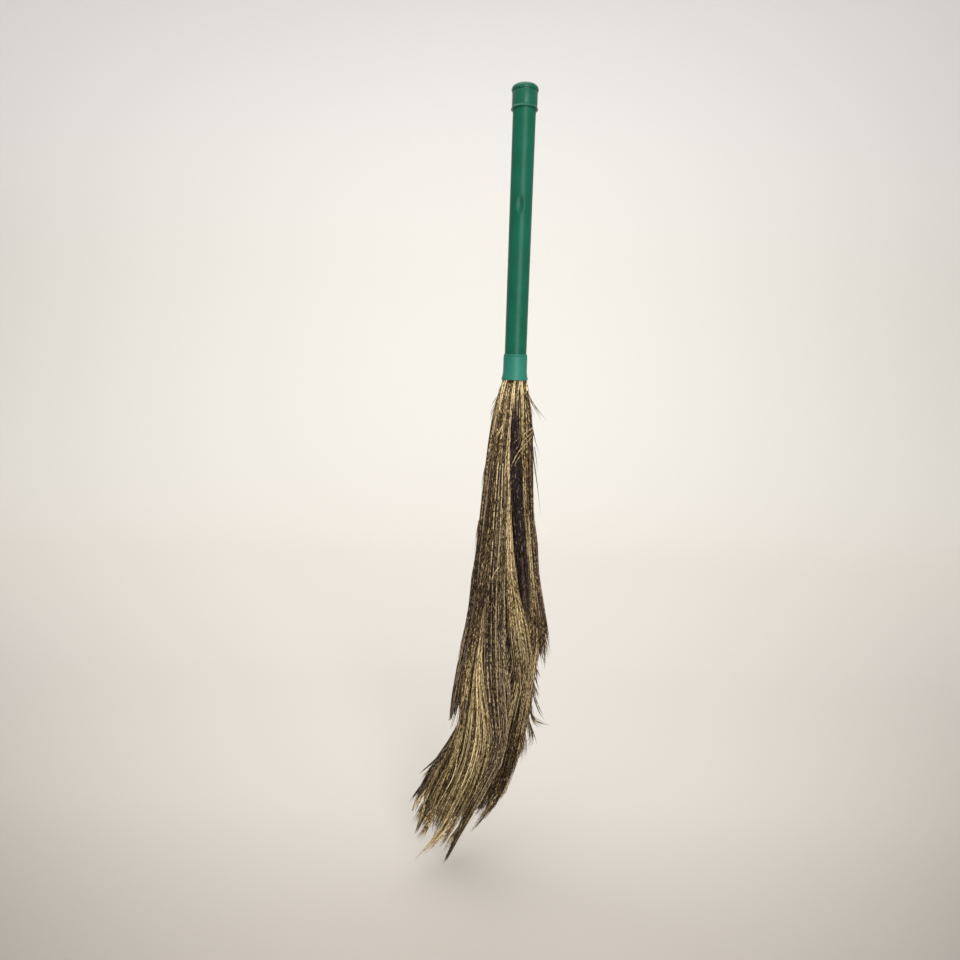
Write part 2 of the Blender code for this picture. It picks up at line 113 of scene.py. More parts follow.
# Hanks that the front shows, each with its route as rows of drop, middle, half width and how
# deep its middle lies under the skirt's face, in mm, and its colouring as rows of drop in mm,
# share of ripe straw, share of plum brown and its step of tone
FRONT_HANKS = {
    "outer_plume_01": {
        "slot": "grey_brown_grass", "seed": 11, "tip": 664, "tone": 0.50, "fullness": 1.4,
        "route": (
            (14, -6, 5, 5), (31, -7.5, 5.5, 5), (68, -10, 6.5, 5), (107, -12, 8.5, 6),
            (146, -13, 9.5, 6), (206, -14.5, 11, 7), (246, -15.5, 12.5, 7), (288, -15, 14.5, 8),
            (332, -15, 13.5, 8), (377, -13, 13, 8), (422, -7, 13, 8), (469, -5, 10, 7),
            (500, -13, 10, 6), (541, -31, 9, 6), (591, -50, 5.4, 5), (628, -63.5, 2.6, 4),
            (664, -76, 0.8, 3),
        ),
        "colouring": (
            (0, 0.9, 0, PLAIN), (25, 0.75, 0, DULL), (60, 0.5, 0, DULL), (90, 0.45, 0, DULL),
            (170, 0.2, 0, DULL), (225, 0.1, 0.05, DULL), (290, 0.1, 0.1, DARK),
            (345, 0.1, 0.15, DULL), (400, 0.1, 0.2, DULL), (500, 0.15, 0.15, DULL),
            (590, 0.25, 0.15, DULL), (634, 0.25, 0.35, DULL), (664, 0.1, 0.6, DARK),
        ),
    },
    "outer_plume_02": {
        "slot": "purple_brown_grass", "seed": 12, "tip": 296, "tone": 0.42, "fullness": 0.9,
        "route": (
            (14, 2, 2.6, 6), (31, 1.2, 2.8, 4), (49, 1.2, 4, 4), (68, 2.2, 5.3, 4), (106, 3.8, 7, 5),
            (145, 7.2, 7.6, 5), (185, 12, 7.6, 5), (225, 16.8, 7, 5), (252, 20.2, 5.4, 4),
            (275, 24, 3.6, 4), (296, 26.8, 2, 4),
        ),
        "colouring": (
            (0, 0.9, 0.05, PLAIN), (28, 0.4, 0.4, DULL), (50, 0, 1, DARK), (100, 0, 1, DEEP),
            (215, 0.05, 0.8, DEEP), (245, 0.1, 0.7, DARK), (296, 0.2, 0.5, DULL),
        ),
    },
    "outer_plume_03": {
        "slot": "olive_grass", "seed": 13, "tip": 606, "tone": 0.36, "fullness": 1.6,
        "route": (
            (12, 9.5, 4.5, 4), (31, 11, 5, 4), (69, 12.9, 5.2, 4), (107, 15.6, 4.4, 4),
            (146, 17.8, 3.4, 4), (186, 22.3, 2.6, 4), (227, 27.5, 2.6, 4), (268, 32.6, 3.6, 4),
            (300, 35, 6, 5), (340, 32.5, 10, 7), (383, 25.5, 12.5, 8), (430, 19, 14.5, 8),
            (478, 11, 15.5, 8), (502, 7, 14.5, 8), (527, -1, 15, 8), (551, -12, 15.5, 7),
            (577, -25, 13, 6), (594, -35, 11, 5), (606, -42, 8, 5),
        ),
        "colouring": (
            (0, 0.9, 0, PLAIN), (30, 0.65, 0, PLAIN), (60, 0.4, 0, DULL), (90, 0.25, 0, DARK),
            (145, 0.15, 0.2, PLAIN), (225, 0.2, 0.2, PLAIN), (300, 0.1, 0.4, DARK),
            (350, 0.15, 0.3, PLAIN), (410, 0.15, 0.35, PLAIN), (470, 0.1, 0.35, DULL),
            (530, 0.1, 0.4, DARK), (606, 0.4, 0.1, DARK),
        ),
    },
    "outer_plume_04": {
        "slot": "brown_grass", "seed": 14, "tip": 352, "tone": 0.34, "fullness": 0.9,
        "route": (
            (12, 13.5, 3, 3), (31, 17, 3.2, 3), (51, 19.5, 3.6, 4), (89, 21.8, 3.6, 4),
            (129, 23.8, 3.8, 4), (169, 26.4, 4.2, 4), (190, 29, 4.4, 4), (231, 34, 4.4, 4),
            (273, 40.5, 5, 4), (295, 44.5, 6, 5), (318, 48, 7, 5), (352, 52, 6, 5),
        ),
        "colouring": (
            (0, 0.9, 0, PLAIN), (25, 0.6, 0, PLAIN), (50, 0.15, 0.15, DULL), (120, 0.05, 0.4, DULL),
            (230, 0.05, 0.5, DULL), (270, 0.05, 0.5, PLAIN), (300, 0.1, 0.3, BRIGHT),
        ),
    },
    "outer_plume_11": {
        "slot": "brown_grass", "seed": 21, "tip": 458, "tone": 0.34, "fullness": 1.1,
        "route": (
            (13, -14, 3.2, 3), (51, -21, 3.8, 3), (90, -25.7, 5, 4), (130, -28.7, 5.5, 4),
            (170, -31.7, 6, 4), (211, -34.8, 6, 4), (253, -39.4, 6, 4), (296, -44.2, 6, 4),
            (341, -51.4, 6, 4), (387, -58.6, 5.8, 4), (411, -61.5, 6.2, 4), (438, -65.5, 4.8, 3),
            (458, -69.2, 2.4, 3),
        ),
        "colouring": (
            (0, 0.5, 0, PLAIN), (60, 0.15, 0, PLAIN), (146, 0.05, 0.3, DARK), (225, 0, 0.35, DARK),
            (320, 0, 0.35, DULL), (390, 0.05, 0.35, BRIGHT), (458, 0, 0.5, PLAIN),
        ),
    },
    "outer_plume_12": {
        "slot": "olive_grass", "seed": 22, "tip": 622, "tone": 0.32, "fullness": 1.5,
        "route": (
            (14, -11, 4, 4), (32, -14, 5, 4), (71, -17.5, 5.5, 4), (110, -21, 5.5, 4),
            (170, -24.5, 6.5, 5), (211, -28, 6.5, 5), (253, -32.4, 7, 5), (293, -36.2, 7, 5),
            (337, -42, 6.5, 5), (383, -47.5, 6.5, 5), (429, -50, 7.2, 5), (453, -52, 7.5, 6),
            (477, -58, 9, 6), (501, -69, 11, 7), (525, -79, 12.5, 7), (550, -88, 14, 7),
            (577, -95, 13, 7), (600, -103, 9, 6), (622, -112, 4, 4),
        ),
        "colouring": (
            (0, 0.9, 0, BRIGHT), (25, 0.7, 0, PLAIN), (50, 0.3, 0.05, DARK), (85, 0.15, 0.15, DARK),
            (150, 0.05, 0.35, DARK), (310, 0, 0.45, DARK), (370, 0.15, 0.15, DULL),
            (440, 0.2, 0.05, PLAIN), (500, 0.2, 0.15, PLAIN), (560, 0.35, 0.05, PLAIN),
            (600, 0.75, 0, PLAIN), (622, 1, 0, PLAIN),
        ),
    },
    "outer_plume_10": {
        "slot": "purple_brown_grass", "seed": 20, "tip": 590, "tone": 0.42, "fullness": 1.3,
        "route": (
            (14, -14, 3, 4), (51, -17, 4, 6), (130, -25.5, 5.5, 8), (211, -31.5, 6.5, 9),
            (296, -38.5, 7, 10), (364, -47, 7, 9), (411, -48, 6, 8), (440, -50, 6, 7),
            (464, -56, 7.5, 6), (488, -69, 9, 6), (513, -84, 9, 6), (538, -96, 9, 6),
            (564, -109, 6, 6), (590, -118, 2, 4),
        ),
        "colouring": (
            (0, 0.4, 0.1, PLAIN), (100, 0, 0.4, PLAIN), (440, 0.1, 0.4, PLAIN),
            (500, 0.3, 0.15, PLAIN), (590, 0.6, 0, PLAIN),
        ),
    },
    "inner_plume_1": {
        "slot": "straw_grass", "seed": 31, "tip": 452, "tone": 0.50, "fullness": 1.4,
        "route": (
            (14, -1, 4, 8), (80, -3, 2.4, 10), (107, -3.4, 1.6, 8), (128, -3.4, 1.0, 4),
            (155, -2.8, 2.4, 3.5), (185, -1.6, 4.2, 4), (205, -0.4, 4.8, 4), (225, 1.4, 5.6, 5),
            (245, 3.8, 7.2, 5), (266, 7, 9, 6), (286, 10.8, 11.6, 6), (311, 15, 13, 7),
            (333, 19, 13.5, 7), (355, 22, 13, 7), (378, 24.5, 12.5, 7), (401, 26.5, 11, 7),
            (424, 28, 8, 6), (452, 30, 4, 5),
        ),
        "colouring": (
            (0, 0.9, 0, PLAIN), (110, 0.4, 0, DULL), (200, 0.3, 0, DULL), (240, 0.4, 0, DARK),
            (275, 0.45, 0, DARK), (316, 0.4, 0.15, DULL), (345, 0.35, 0.25, DULL),
            (400, 0.25, 0.35, DULL), (452, 0.15, 0.35, DULL),
        ),
    },
    "inner_plume_6": {
        "slot": "olive_grass", "seed": 36, "tip": 624, "tone": 0.66, "fullness": 2.4,
        "route": (
            (14, -5, 4, 9), (107, -15, 6, 12), (200, -23, 7, 13), (260, -27, 5, 14), (296, -29, 2, 12),
            (315, -30.6, 1.6, 11), (331, -32.5, 2.4, 7.5), (353, -34, 4.2, 5.5), (375, -34.5, 6.6, 6.5),
            (398, -33, 10.5, 7), (421, -31, 14, 8), (444, -30, 17.5, 9), (467, -31.5, 20, 10),
            (490, -35, 21, 10), (514, -42, 22, 10), (539, -51, 24, 9), (563, -61, 24, 8),
            (588, -71, 21, 7), (613, -80, 19, 6), (624, -85, 16, 5),
        ),
        "colouring": (
            (0, 0.6, 0, PLAIN), (310, 0.35, 0, DULL), (350, 0.5, 0, DULL), (400, 0.7, 0, DULL),
            (470, 0.75, 0, DULL), (510, 0.5, 0.05, DULL), (570, 0.4, 0, DULL), (624, 0.9, 0, DULL),
        ),
    },
}

# Hanks of the sides and the back, which follow the skirt's outline: place across it at the root
# and at the tip, width as a share of the skirt's, how near they lie to the back (1) or the front
# (-1), how deep under its face in mm, and colouring rows as for the front hanks
BACK_HANKS = {
    "outer_plume_05": {"slot": "grey_brown_grass", "seed": 15, "tip": 548, "tone": 0.42,
                       "across": (0.80, 0.86), "width": 0.20, "face": 0.25, "sink": 6,
                       "colouring": ((0, 0.5, 0, 0), (90, 0.2, 0.1, 0), (548, 0.1, 0.2, 0))},
    "outer_plume_06": {"slot": "brown_grass", "seed": 16, "tip": 585, "tone": 0.45,
                       "across": (0.62, 0.50), "width": 0.28, "face": 1, "sink": 7,
                       "colouring": ((0, 0.6, 0, 0), (120, 0.25, 0, 0), (585, 0.15, 0.1, 0))},
    "outer_plume_07": {"slot": "grey_brown_grass", "seed": 17, "tip": 620, "tone": 0.50,
                       "across": (0.14, 0.05), "width": 0.34, "face": 1, "sink": 7,
                       "colouring": ((0, 0.7, 0, 0), (150, 0.4, 0, 0), (400, 0.1, 0.2, 0),
                                     (620, 0.1, 0.3, 0))},
    "outer_plume_08": {"slot": "olive_grass", "seed": 18, "tip": 635, "tone": 0.50,
                       "across": (-0.37, -0.40), "width": 0.32, "face": 1, "sink": 7,
                       "colouring": ((0, 0.7, 0, 0), (150, 0.5, 0, 0), (300, 0.6, 0, 0),
                                     (635, 0.4, 0, 0))},
    "outer_plume_09": {"slot": "brown_grass", "seed": 19, "tip": 600, "tone": 0.42,
                       "across": (-0.80, -0.78), "width": 0.26, "face": 0.9, "sink": 6,
                       "colouring": ((0, 0.5, 0, 0), (100, 0.1, 0.1, 0), (600, 0.1, 0.3, 0))},
    "inner_plume_2": {"slot": "grey_brown_grass", "seed": 32, "tip": 590, "tone": 0.42,
                      "across": (0.35, 0.45), "width": 0.42, "face": -0.45, "sink": 4,
                      "colouring": ((0, 0.4, 0, 0), (590, 0.1, 0.2, 0))},
    "inner_plume_3": {"slot": "brown_grass", "seed": 33, "tip": 560, "tone": 0.42,
                      "across": (0.45, 0.40), "width": 0.42, "face": 0.3, "sink": 4,
                      "colouring": ((0, 0.4, 0, 0), (560, 0.1, 0.2, 0))},
    "inner_plume_4": {"slot": "grey_brown_grass", "seed": 34, "tip": 600, "tone": 0.45,
                      "across": (0.0, -0.05), "width": 0.45, "face": 0.5, "sink": 5,
                      "colouring": ((0, 0.4, 0, 0), (600, 0.2, 0.2, 0))},
    "inner_plume_5": {"slot": "brown_grass", "seed": 35, "tip": 610, "tone": 0.42,
                      "across": (-0.45, -0.45), "width": 0.42, "face": 0.3, "sink": 5,
                      "colouring": ((0, 0.4, 0, 0), (610, 0.2, 0.2, 0))},
}

# Loose wisps of each hank: number of hairs, lightness, radius in mm and route as rows of drop,
# place across and place from front to back in mm
WISPS = {
    "outer_plume_04": (
        (2, 0.50, 0.45, ((6, 14, -4), (22, 20, -6), (38, 32, -8), (48, 41, -9))),
        (2, 0.45, 0.40, ((8, 14, -6), (24, 20, -9), (40, 29, -12), (49, 35, -13))),
        (3, 0.45, 0.35, ((18, 16, -8), (30, 20, -10), (44, 26, -12))),
        (1, 0.30, 0.50, ((44, 20, -8), (59, 24, -8), (74, 28, -7), (90, 34, -6))),
        (1, 0.25, 0.65, ((72, 22, -10), (109, 29, -8), (134, 33.5, -6), (165, 38, -6))),
        (2, 0.30, 0.45, ((60, 22, -6), (88, 26, -5), (118, 29.5, -5))),
        (8, 0.25, 0.55, ((264, 40, -12), (300, 49, -12), (325, 54.5, -12))),
        (8, 0.25, 0.55, ((274, 42, -12), (307, 50, -12), (336, 55.5, -12))),
        (8, 0.25, 0.50, ((296, 42, -14), (330, 51, -12), (350, 55.5, -12))),
        (8, 0.30, 0.50, ((318, 40, -14), (344, 47, -12), (362, 51, -12))),
        (8, 0.30, 0.35, ((300, 44, -13), (338, 51, -12), (368, 53, -12))),
    ),
    "outer_plume_03": (
        (1, 0.72, 0.42, ((55, 23, -19), (64, 11, -25), (74, -1, -27))),
        (1, 0.85, 0.42, ((60, 23, -19), (71, 11, -26), (83, 1, -28))),
        (2, 0.78, 0.40, ((66, 22, -20), (85, 6, -27), (105, -3, -29))),
        (1, 0.70, 0.40, ((83, 11, -27), (103, 0, -29))),
        (5, 0.20, 0.60, ((522, 10, -14), (551, 0, -12), (573, -8, -10))),
        (5, 0.15, 0.60, ((530, 2, -16), (563, -9, -14), (579, -17, -12))),
        (6, 0.85, 0.50, ((540, -4, -24), (566, -18, -22), (588, -34, -20))),
        (4, 0.75, 0.50, ((505, 12, -20), (535, 6, -18), (560, -4, -16))),
        (8, 0.60, 0.30, ((500, 16, -16), (534, 7, -14), (560, -4, -12))),
    ),
    "outer_plume_11": (
        (3, 0.75, 0.40, ((52, -13, -17), (62, -18, -17), (74, -24, -16))),
        (4, 0.45, 0.35, ((12, -14, -3), (24, -21, -4), (34, -26, -5))),
        (4, 0.40, 0.35, ((24, -18, -2), (38, -25, -3), (48, -28, -4))),
        (4, 0.60, 0.40, ((86, -28, -8), (112, -33, -8), (134, -36, -8))),
        (3, 0.30, 0.40, ((150, -35, -6), (190, -40, -6), (222, -44, -6))),
    ),
    "outer_plume_12": (
        (2, 0.80, 0.42, ((225, -13, -34), (233, -18, -35), (241, -21, -35))),
        (5, 0.92, 0.50, ((560, -63, -32), (586, -77, -29), (622, -96, -21), (649, -113, -14))),
        (5, 0.85, 0.45, ((569, -59, -32), (595, -72, -28), (623, -91, -20), (647, -112, -14))),
        (5, 0.60, 0.45, ((572, -88, -20), (596, -97, -16), (622, -105, -12))),
        (4, 0.35, 0.60, ((545, -78, -22), (592, -98, -18), (620, -114, -12))),
        (6, 0.40, 0.50, ((558, -99, -12), (580, -108, -10), (601, -116, -8))),
        (8, 0.85, 0.50, ((540, -98, -16), (562, -109, -12), (577, -118, -10))),
        (8, 0.80, 0.50, ((565, -84, -16), (592, -94, -14), (612, -98, -10))),
        (8, 0.70, 0.35, ((570, -84, -18), (600, -97, -15), (624, -106, -11))),
        (12, 0.40, 0.42, ((546, -88, -18), (570, -101, -14), (590, -110, -10))),
        (10, 0.55, 0.42, ((558, -82, -18), (586, -97, -14), (608, -105, -10))),
    ),
    "outer_plume_01": (
        (5, 0.62, 0.45, ((325, -6, -35), (353, -1, -39), (380, 3.5, -39), (406, 7, -37))),
        (5, 0.58, 0.45, ((340, -1, -35), (366, 3, -39), (388, 7, -39), (418, 10, -37))),
        (6, 0.60, 0.45, ((568, -58, -31), (599, -68, -22), (627, -79, -16))),
        (6, 0.15, 0.60, ((590, -50, -20), (628, -64, -14), (660, -75, -10))),
        (6, 0.25, 0.60, ((580, -44, -20), (620, -60, -14), (652, -72, -10))),
        (4, 0.80, 0.50, ((540, -24, -28), (574, -40, -24), (604, -53, -20))),
        (5, 0.55, 0.35, ((600, -52, -18), (636, -66, -13), (656, -72, -10))),
    ),
    "outer_plume_05": (
        (6, 0.40, 0.40, ((350, 36, -14), (368, 42, -13), (378, 47, -12))),
        (4, 0.25, 0.45, ((366, 36, -14), (386, 42, -13), (398, 46, -12))),
        (4, 0.30, 0.45, ((380, 36, -14), (396, 42, -13), (407, 46, -12))),
        (2, 0.15, 0.60, ((396, 36, -14), (417, 43, -13), (431, 49, -12), (438, 55, -12))),
        (7, 0.35, 0.50, ((415, 31, -14), (434, 38, -13), (443, 48, -12), (446, 61, -12))),
        (6, 0.40, 0.45, ((418, 31, -14), (440, 42, -13), (450, 51, -12))),
        (6, 0.30, 0.50, ((422, 29, -12), (444, 36, -12), (460, 42, -12), (472, 46, -12))),
        (7, 0.30, 0.50, ((430, 29, -12), (450, 36, -12), (466, 39, -12), (482, 34, -12))),
        (5, 0.40, 0.50, ((448, 26, -10), (470, 31, -10), (498, 31, -10))),
        (5, 0.40, 0.50, ((456, 23, -10), (474, 28, -10), (494, 27, -10))),
        (12, 0.35, 0.30, ((338, 36, -14), (366, 40.5, -13), (386, 43.5, -12))),
        (12, 0.30, 0.30, ((366, 34, -14), (396, 39.5, -13), (420, 43, -12))),
        (12, 0.35, 0.30, ((392, 32, -14), (424, 37.5, -13), (446, 41.5, -12))),
        (10, 0.30, 0.30, ((416, 29, -13), (448, 34, -12), (474, 37, -12))),
        (8, 0.40, 0.30, ((446, 26, -12), (476, 29, -11), (506, 28, -10))),
    ),
    "inner_plume_6": (
        (8, 0.95, 0.50, ((572, -63, -31), (593, -73, -28), (615, -88, -22), (631, -100, -18))),
        (1, 0.90, 0.55, ((477, -57, -22), (508, -62, -33), (556, -84, -29), (575, -99, -21))),
        (8, 0.85, 0.50, ((580, -66, -18), (605, -76, -14), (622, -82, -12))),
        (6, 0.70, 0.50, ((590, -60, -18), (612, -68, -14), (628, -74, -12))),
        (10, 0.85, 0.35, ((582, -72, -22), (608, -82, -16), (630, -92, -12))),
        (12, 0.65, 0.42, ((580, -54, -22), (606, -67, -17), (632, -79, -12))),
        (12, 0.55, 0.42, ((588, -50, -20), (614, -64, -15), (638, -74, -11))),
    ),
    "outer_plume_10": (
        (6, 0.15, 0.60, ((480, -68, -12), (508, -93, -10), (524, -108, -8))),
        (6, 0.20, 0.55, ((488, -70, -12), (512, -92, -10), (530, -107, -8))),
        (6, 0.20, 0.60, ((520, -93, -12), (543, -107, -10), (567, -120, -8))),
    ),
}


class BroomPlasticSettings(bpy.types.PropertyGroup):
    """Sizes and colours of the tube, the cap and the collar."""

    tube_sides: bpy.props.IntProperty(
        name="Tube sides", description="Facets round the tube, the cap and the collar",
        default=144, min=24)
    tube_wall: bpy.props.FloatProperty(
        name="Tube wall", description="Thickness of the extruded tube",
        default=0.0012, unit="LENGTH")
    seat_gap: bpy.props.FloatProperty(
        name="Seat gap", description="Clearance between the tube and what is pushed over it",
        default=0.0003, unit="LENGTH")
    dent_rise: bpy.props.FloatProperty(
        name="Dent height", description="Height of the dent's middle over the tube's middle",
        default=0.032, unit="LENGTH")
    dent_half_width: bpy.props.FloatProperty(
        name="Dent half width", description="Half the dent's width, measured round the tube",
        default=0.0058, unit="LENGTH")
    dent_half_height: bpy.props.FloatProperty(
        name="Dent half height", description="Half the dent's height",
        default=0.0125, unit="LENGTH")
    dent_depth: bpy.props.FloatProperty(
        name="Dent depth", description="How far the wall is pressed in",
        default=0.0018, unit="LENGTH")
    tube_colour: bpy.props.FloatVectorProperty(
        name="Tube colour", description="Dyed plastic of the tube",
        subtype="COLOR", size=4, default=srgb("#0f5843"))
    cap_colour: bpy.props.FloatVectorProperty(
        name="Cap colour", description="Dyed plastic of the cap",
        subtype="COLOR", size=4, default=srgb("#0f5641"))
    collar_colour: bpy.props.FloatVectorProperty(
        name="Collar colour", description="Dyed plastic of the collar",
        subtype="COLOR", size=4, default=srgb("#227260"))


class BroomGrassSettings(bpy.types.PropertyGroup):
    """Sizes and numbers of the grass."""

    stem_radius: bpy.props.FloatProperty(
        name="Stem radius", description="Radius of the straw stems under the collar",
        default=0.00105, unit="LENGTH")
    branch_radius: bpy.props.FloatProperty(
        name="Branch radius", description="Radius of the long flower branches",
        default=0.00066, unit="LENGTH")
    twig_radius: bpy.props.FloatProperty(
        name="Twig radius", description="Radius of the short side branches",
        default=0.00044, unit="LENGTH")
    husk_radius: bpy.props.FloatProperty(
        name="Husk radius", description="Radius of the tiny husks on the branches",
        default=0.00034, unit="LENGTH")
    husk_length: bpy.props.FloatProperty(
        name="Husk length", description="Length of the tiny husks on the branches",
        default=0.0040, unit="LENGTH")
    stems: bpy.props.IntProperty(
        name="Stems", description="Straw stems that show in each hank under the collar",
        default=10, min=0)
    tone_wisps: bpy.props.IntProperty(
        name="Wisps", description="Wisps of one tone in each hank", default=60, min=1)
    branches: bpy.props.IntProperty(
        name="Branches", description="Long branches in each hank", default=150, min=1)
    twigs: bpy.props.IntProperty(
        name="Twigs", description="Short side branches in each hank", default=270, min=0)
    husks: bpy.props.IntProperty(
        name="Husks", description="Husks in each hank", default=1100, min=0)
    locks: bpy.props.IntProperty(
        name="Locks", description="Pointed locks that each hank's tips gather into",
        default=9, min=1)


class BroomStageSettings(bpy.types.PropertyGroup):
    """Studio floor, lights and camera."""

    floor_gap: bpy.props.FloatProperty(
        name="Floor gap", description="Clear height under the lowest grass",
        default=0.012, unit="LENGTH")
    lens: bpy.props.FloatProperty(
        name="Lens", description="Focal length on a 36 mm wide sensor, in millimetres",
        default=24.6)
    overhead_power: bpy.props.FloatProperty(
        name="Overhead power", description="Power of the overhead light",
        default=30.0, unit="POWER")
    front_power: bpy.props.FloatProperty(
        name="Front power", description="Power of the front light, which draws the handle's gloss",
        default=24.0, unit="POWER")
    wall_power: bpy.props.FloatProperty(
        name="Wall power", description="Power of the light on the paper behind",
        default=36.5, unit="POWER")
    world_strength: bpy.props.FloatProperty(
        name="World strength", description="Even light from all round", default=0.45)


def new_material(name):
    """An empty node material, its tree and its Object coordinates."""
    made = bpy.data.materials.new(name)
    made.use_nodes = True
    tree = made.node_tree
    tree.nodes.clear()
    return made, tree, add_node(tree, "ShaderNodeTexCoord").outputs["Object"]


def add_node(tree, kind, settings=None, inputs=None):
    """Add a node, set its properties and fill its sockets with values or with other sockets."""
    node = tree.nodes.new(kind)
    for name, value in (settings or {}).items():
        if name == "stops":
            while len(node.color_ramp.elements) < len(value):
                node.color_ramp.elements.new(1)
            for element, (position, colour) in zip(node.color_ramp.elements, value):
                element.position = position
                element.color = srgb(colour)
        else:
            setattr(node, name, value)
    for name, value in (inputs or {}).items():
        socket = node.inputs[name]
        if isinstance(value, bpy.types.NodeSocket):
            tree.links.new(value, socket)
        else:
            socket.default_value = value
    return node


def drawn_out(tree, place, squeeze):
    """Object coordinates squeezed along the handle, which draw a texture out lengthwise."""
    return add_node(tree, "ShaderNodeMapping", {}, {
        "Vector": place, "Scale": (1.0, 1.0, squeeze),
    }).outputs["Vector"]


def noise(tree, place, size, detail, roughness=0.5, dimensions="3D"):
    """A noise texture with features of this size in millimetres."""
    return add_node(tree, "ShaderNodeTexNoise", {"noise_dimensions": dimensions}, {
        "Vector": place, "Scale": 1 / (size * MILLIMETRE), "Detail": detail, "Roughness": roughness,
    }).outputs["Fac"]


def ranged(tree, value, old, new):
    """A value carried from its old range to a new one, and held inside it."""
    return add_node(tree, "ShaderNodeMapRange", {}, {
        "Value": value, "From Min": old[0], "From Max": old[1], "To Min": new[0], "To Max": new[1],
    }).outputs["Result"]


def computed(tree, operation, *values):
    """The result of a sum on values and sockets."""
    sums = add_node(tree, "ShaderNodeMath", {"operation": operation}, dict(enumerate(values)))
    return sums.outputs["Value"]


def coloured(tree, value, stops):
    """A colour ramp's node, read at a value."""
    return add_node(tree, "ShaderNodeValToRGB", {"stops": stops}, {"Fac": value})


def scaled(tree, colour, share):
    """A colour made lighter or darker by a share."""
    return add_node(tree, "ShaderNodeVectorMath", {"operation": "SCALE"}, {
        "Vector": colour, "Scale": share,
    }).outputs["Vector"]


def blended(tree, share, first, second):
    """The first colour with a share of the second."""
    return add_node(tree, "ShaderNodeMix", {"data_type": "RGBA"}, {
        "Factor": share, 6: first, 7: second,
    }).outputs[2]


def bumped(tree, height, strength, distance, under=None):
    """The normal of a relief, on top of another relief where there is one."""
    inputs = {"Height": height, "Strength": strength, "Distance": distance}
    if under is not None:
        inputs["Normal"] = under
    return add_node(tree, "ShaderNodeBump", {}, inputs).outputs["Normal"]


def surfaced(tree, inputs):
    """Give a material its surface shader."""
    shader = add_node(tree, "ShaderNodeBsdfPrincipled", {}, inputs)
    add_node(tree, "ShaderNodeOutputMaterial", {}, {"Surface": shader.outputs["BSDF"]})


def extruded_polypropylene(name, colour, roughness, gloss):
    """Dyed polypropylene, glossy from the extruder or the mould.

    The eye sees one deep colour, a soft wavy highlight, and faint dull scuffs from handling.
    """
    made, tree, place = new_material(name)
    cloud = noise(tree, place, 28, 3.0, 0.55)
    drawn = noise(tree, drawn_out(tree, place, 0.06), 1.6, 3.0)
    ripple = noise(tree, place, 14, 1.0)
    marks = bumped(tree, drawn, 0.06, 0.0002)
    surfaced(tree, {
        "Base Color": scaled(tree, tuple(colour)[:3], ranged(tree, cloud, (0.3, 0.7), (0.86, 1.12))),
        "Roughness": ranged(tree, drawn, (0.45, 0.75), (roughness, roughness + 0.12)),
        "IOR": 1.49, "Specular IOR Level": gloss, "Normal": bumped(tree, ripple, 0.25, 0.0008, marks),
    })
    return made


# What each point of the grass carries, and the grass's colours from dark to light
TONE_ATTRIBUTES = ("shade", "straw", "plum", "own")
RIPE_STRAW = ("#3d301e", "#ac905d", "#eed9aa")
PLUM_BROWN = ("#110b0b", "#443432", "#8b7568")
GRASSES = {
    "olive_grass": ("#271e14", "#8a7042", "#dcc48c"),
    "straw_grass": ("#40321e", "#a9905f", "#e9d3a4"),
    "brown_grass": ("#1b1510", "#5f4c37", "#b09670"),
    "grey_brown_grass": ("#221912", "#766349", "#c4ae8a"),
    "purple_brown_grass": ("#120d0d", "#453633", "#907b6c"),
}


def dried_grass(name, dark, middle, light):
    """Sun-dried flower branches, cut, hung and beaten clean.

    Each branch has its own tone, ripe ones are straw yellow, shaded ones plum brown, and the
    husks make a dull grain of light and dark along each branch, a few millimetres long. A finer
    fuzz of 1.2 mm, drawn larger than life so that it shows, runs over neighbouring branches.
    """
    made, tree, place = new_material(name)
    shade, straw, plum, own = (
        add_node(tree, "ShaderNodeAttribute", {"attribute_name": attribute}).outputs["Fac"]
        for attribute in TONE_ATTRIBUTES
    )
    height = add_node(tree, "ShaderNodeSeparateXYZ", {}, {"Vector": place}).outputs["Z"]
    track = add_node(tree, "ShaderNodeCombineXYZ", {}, {"X": own, "Y": height}).outputs["Vector"]
    grain = noise(tree, track, 5.5, 2.0, 0.7, "2D")
    fuzz = noise(tree, drawn_out(tree, place, 0.45), 1.2, 1.0)
    both = add_node(tree, "ShaderNodeMix", {"data_type": "FLOAT"}, {"Factor": 0.32, 2: grain, 3: fuzz})
    swing = ranged(tree, both.outputs[0], (0.32, 0.68), (-0.8, 0.8))
    tone = add_node(tree, "ShaderNodeMath", {"operation": "ADD", "use_clamp": True}, {
        0: shade, 1: swing,
    }).outputs["Value"]
    plain, ripe, shaded = (
        coloured(tree, tone, tuple(zip((0.0, 0.5, 1.0), colours))).outputs["Color"]
        for colours in ((dark, middle, light), RIPE_STRAW, PLUM_BROWN)
    )
    surfaced(tree, {
        "Base Color": blended(tree, plum, blended(tree, straw, plain, ripe), shaded),
        "Roughness": 0.62, "IOR": 1.45, "Specular IOR Level": 0.2,
    })
    return made


def finish_piece(piece, nodes, material):
    """Give a piece its material, the nodes that it stands for and the body that it rides on."""
    piece.data.materials.clear()
    piece.data.materials.append(material)
    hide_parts(*nodes)
    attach(piece, BODY)


def add_piece(name, mesh):
    """Put a mesh in the scene as a piece."""
    piece = bpy.data.objects.new(name, mesh)
    bpy.context.scene.collection.objects.link(piece)
    return piece


def arc(centre_radius, centre_height, across, up, start, end, steps):
    """Points on an elliptical arc in the profile plane, between two angles in degrees."""
    points = []
    for step in range(steps + 1):
        angle = math.radians(start + (end - start) * step / steps)
        points.append((centre_radius + across * math.cos(angle), centre_height + up * math.sin(angle)))
    return points


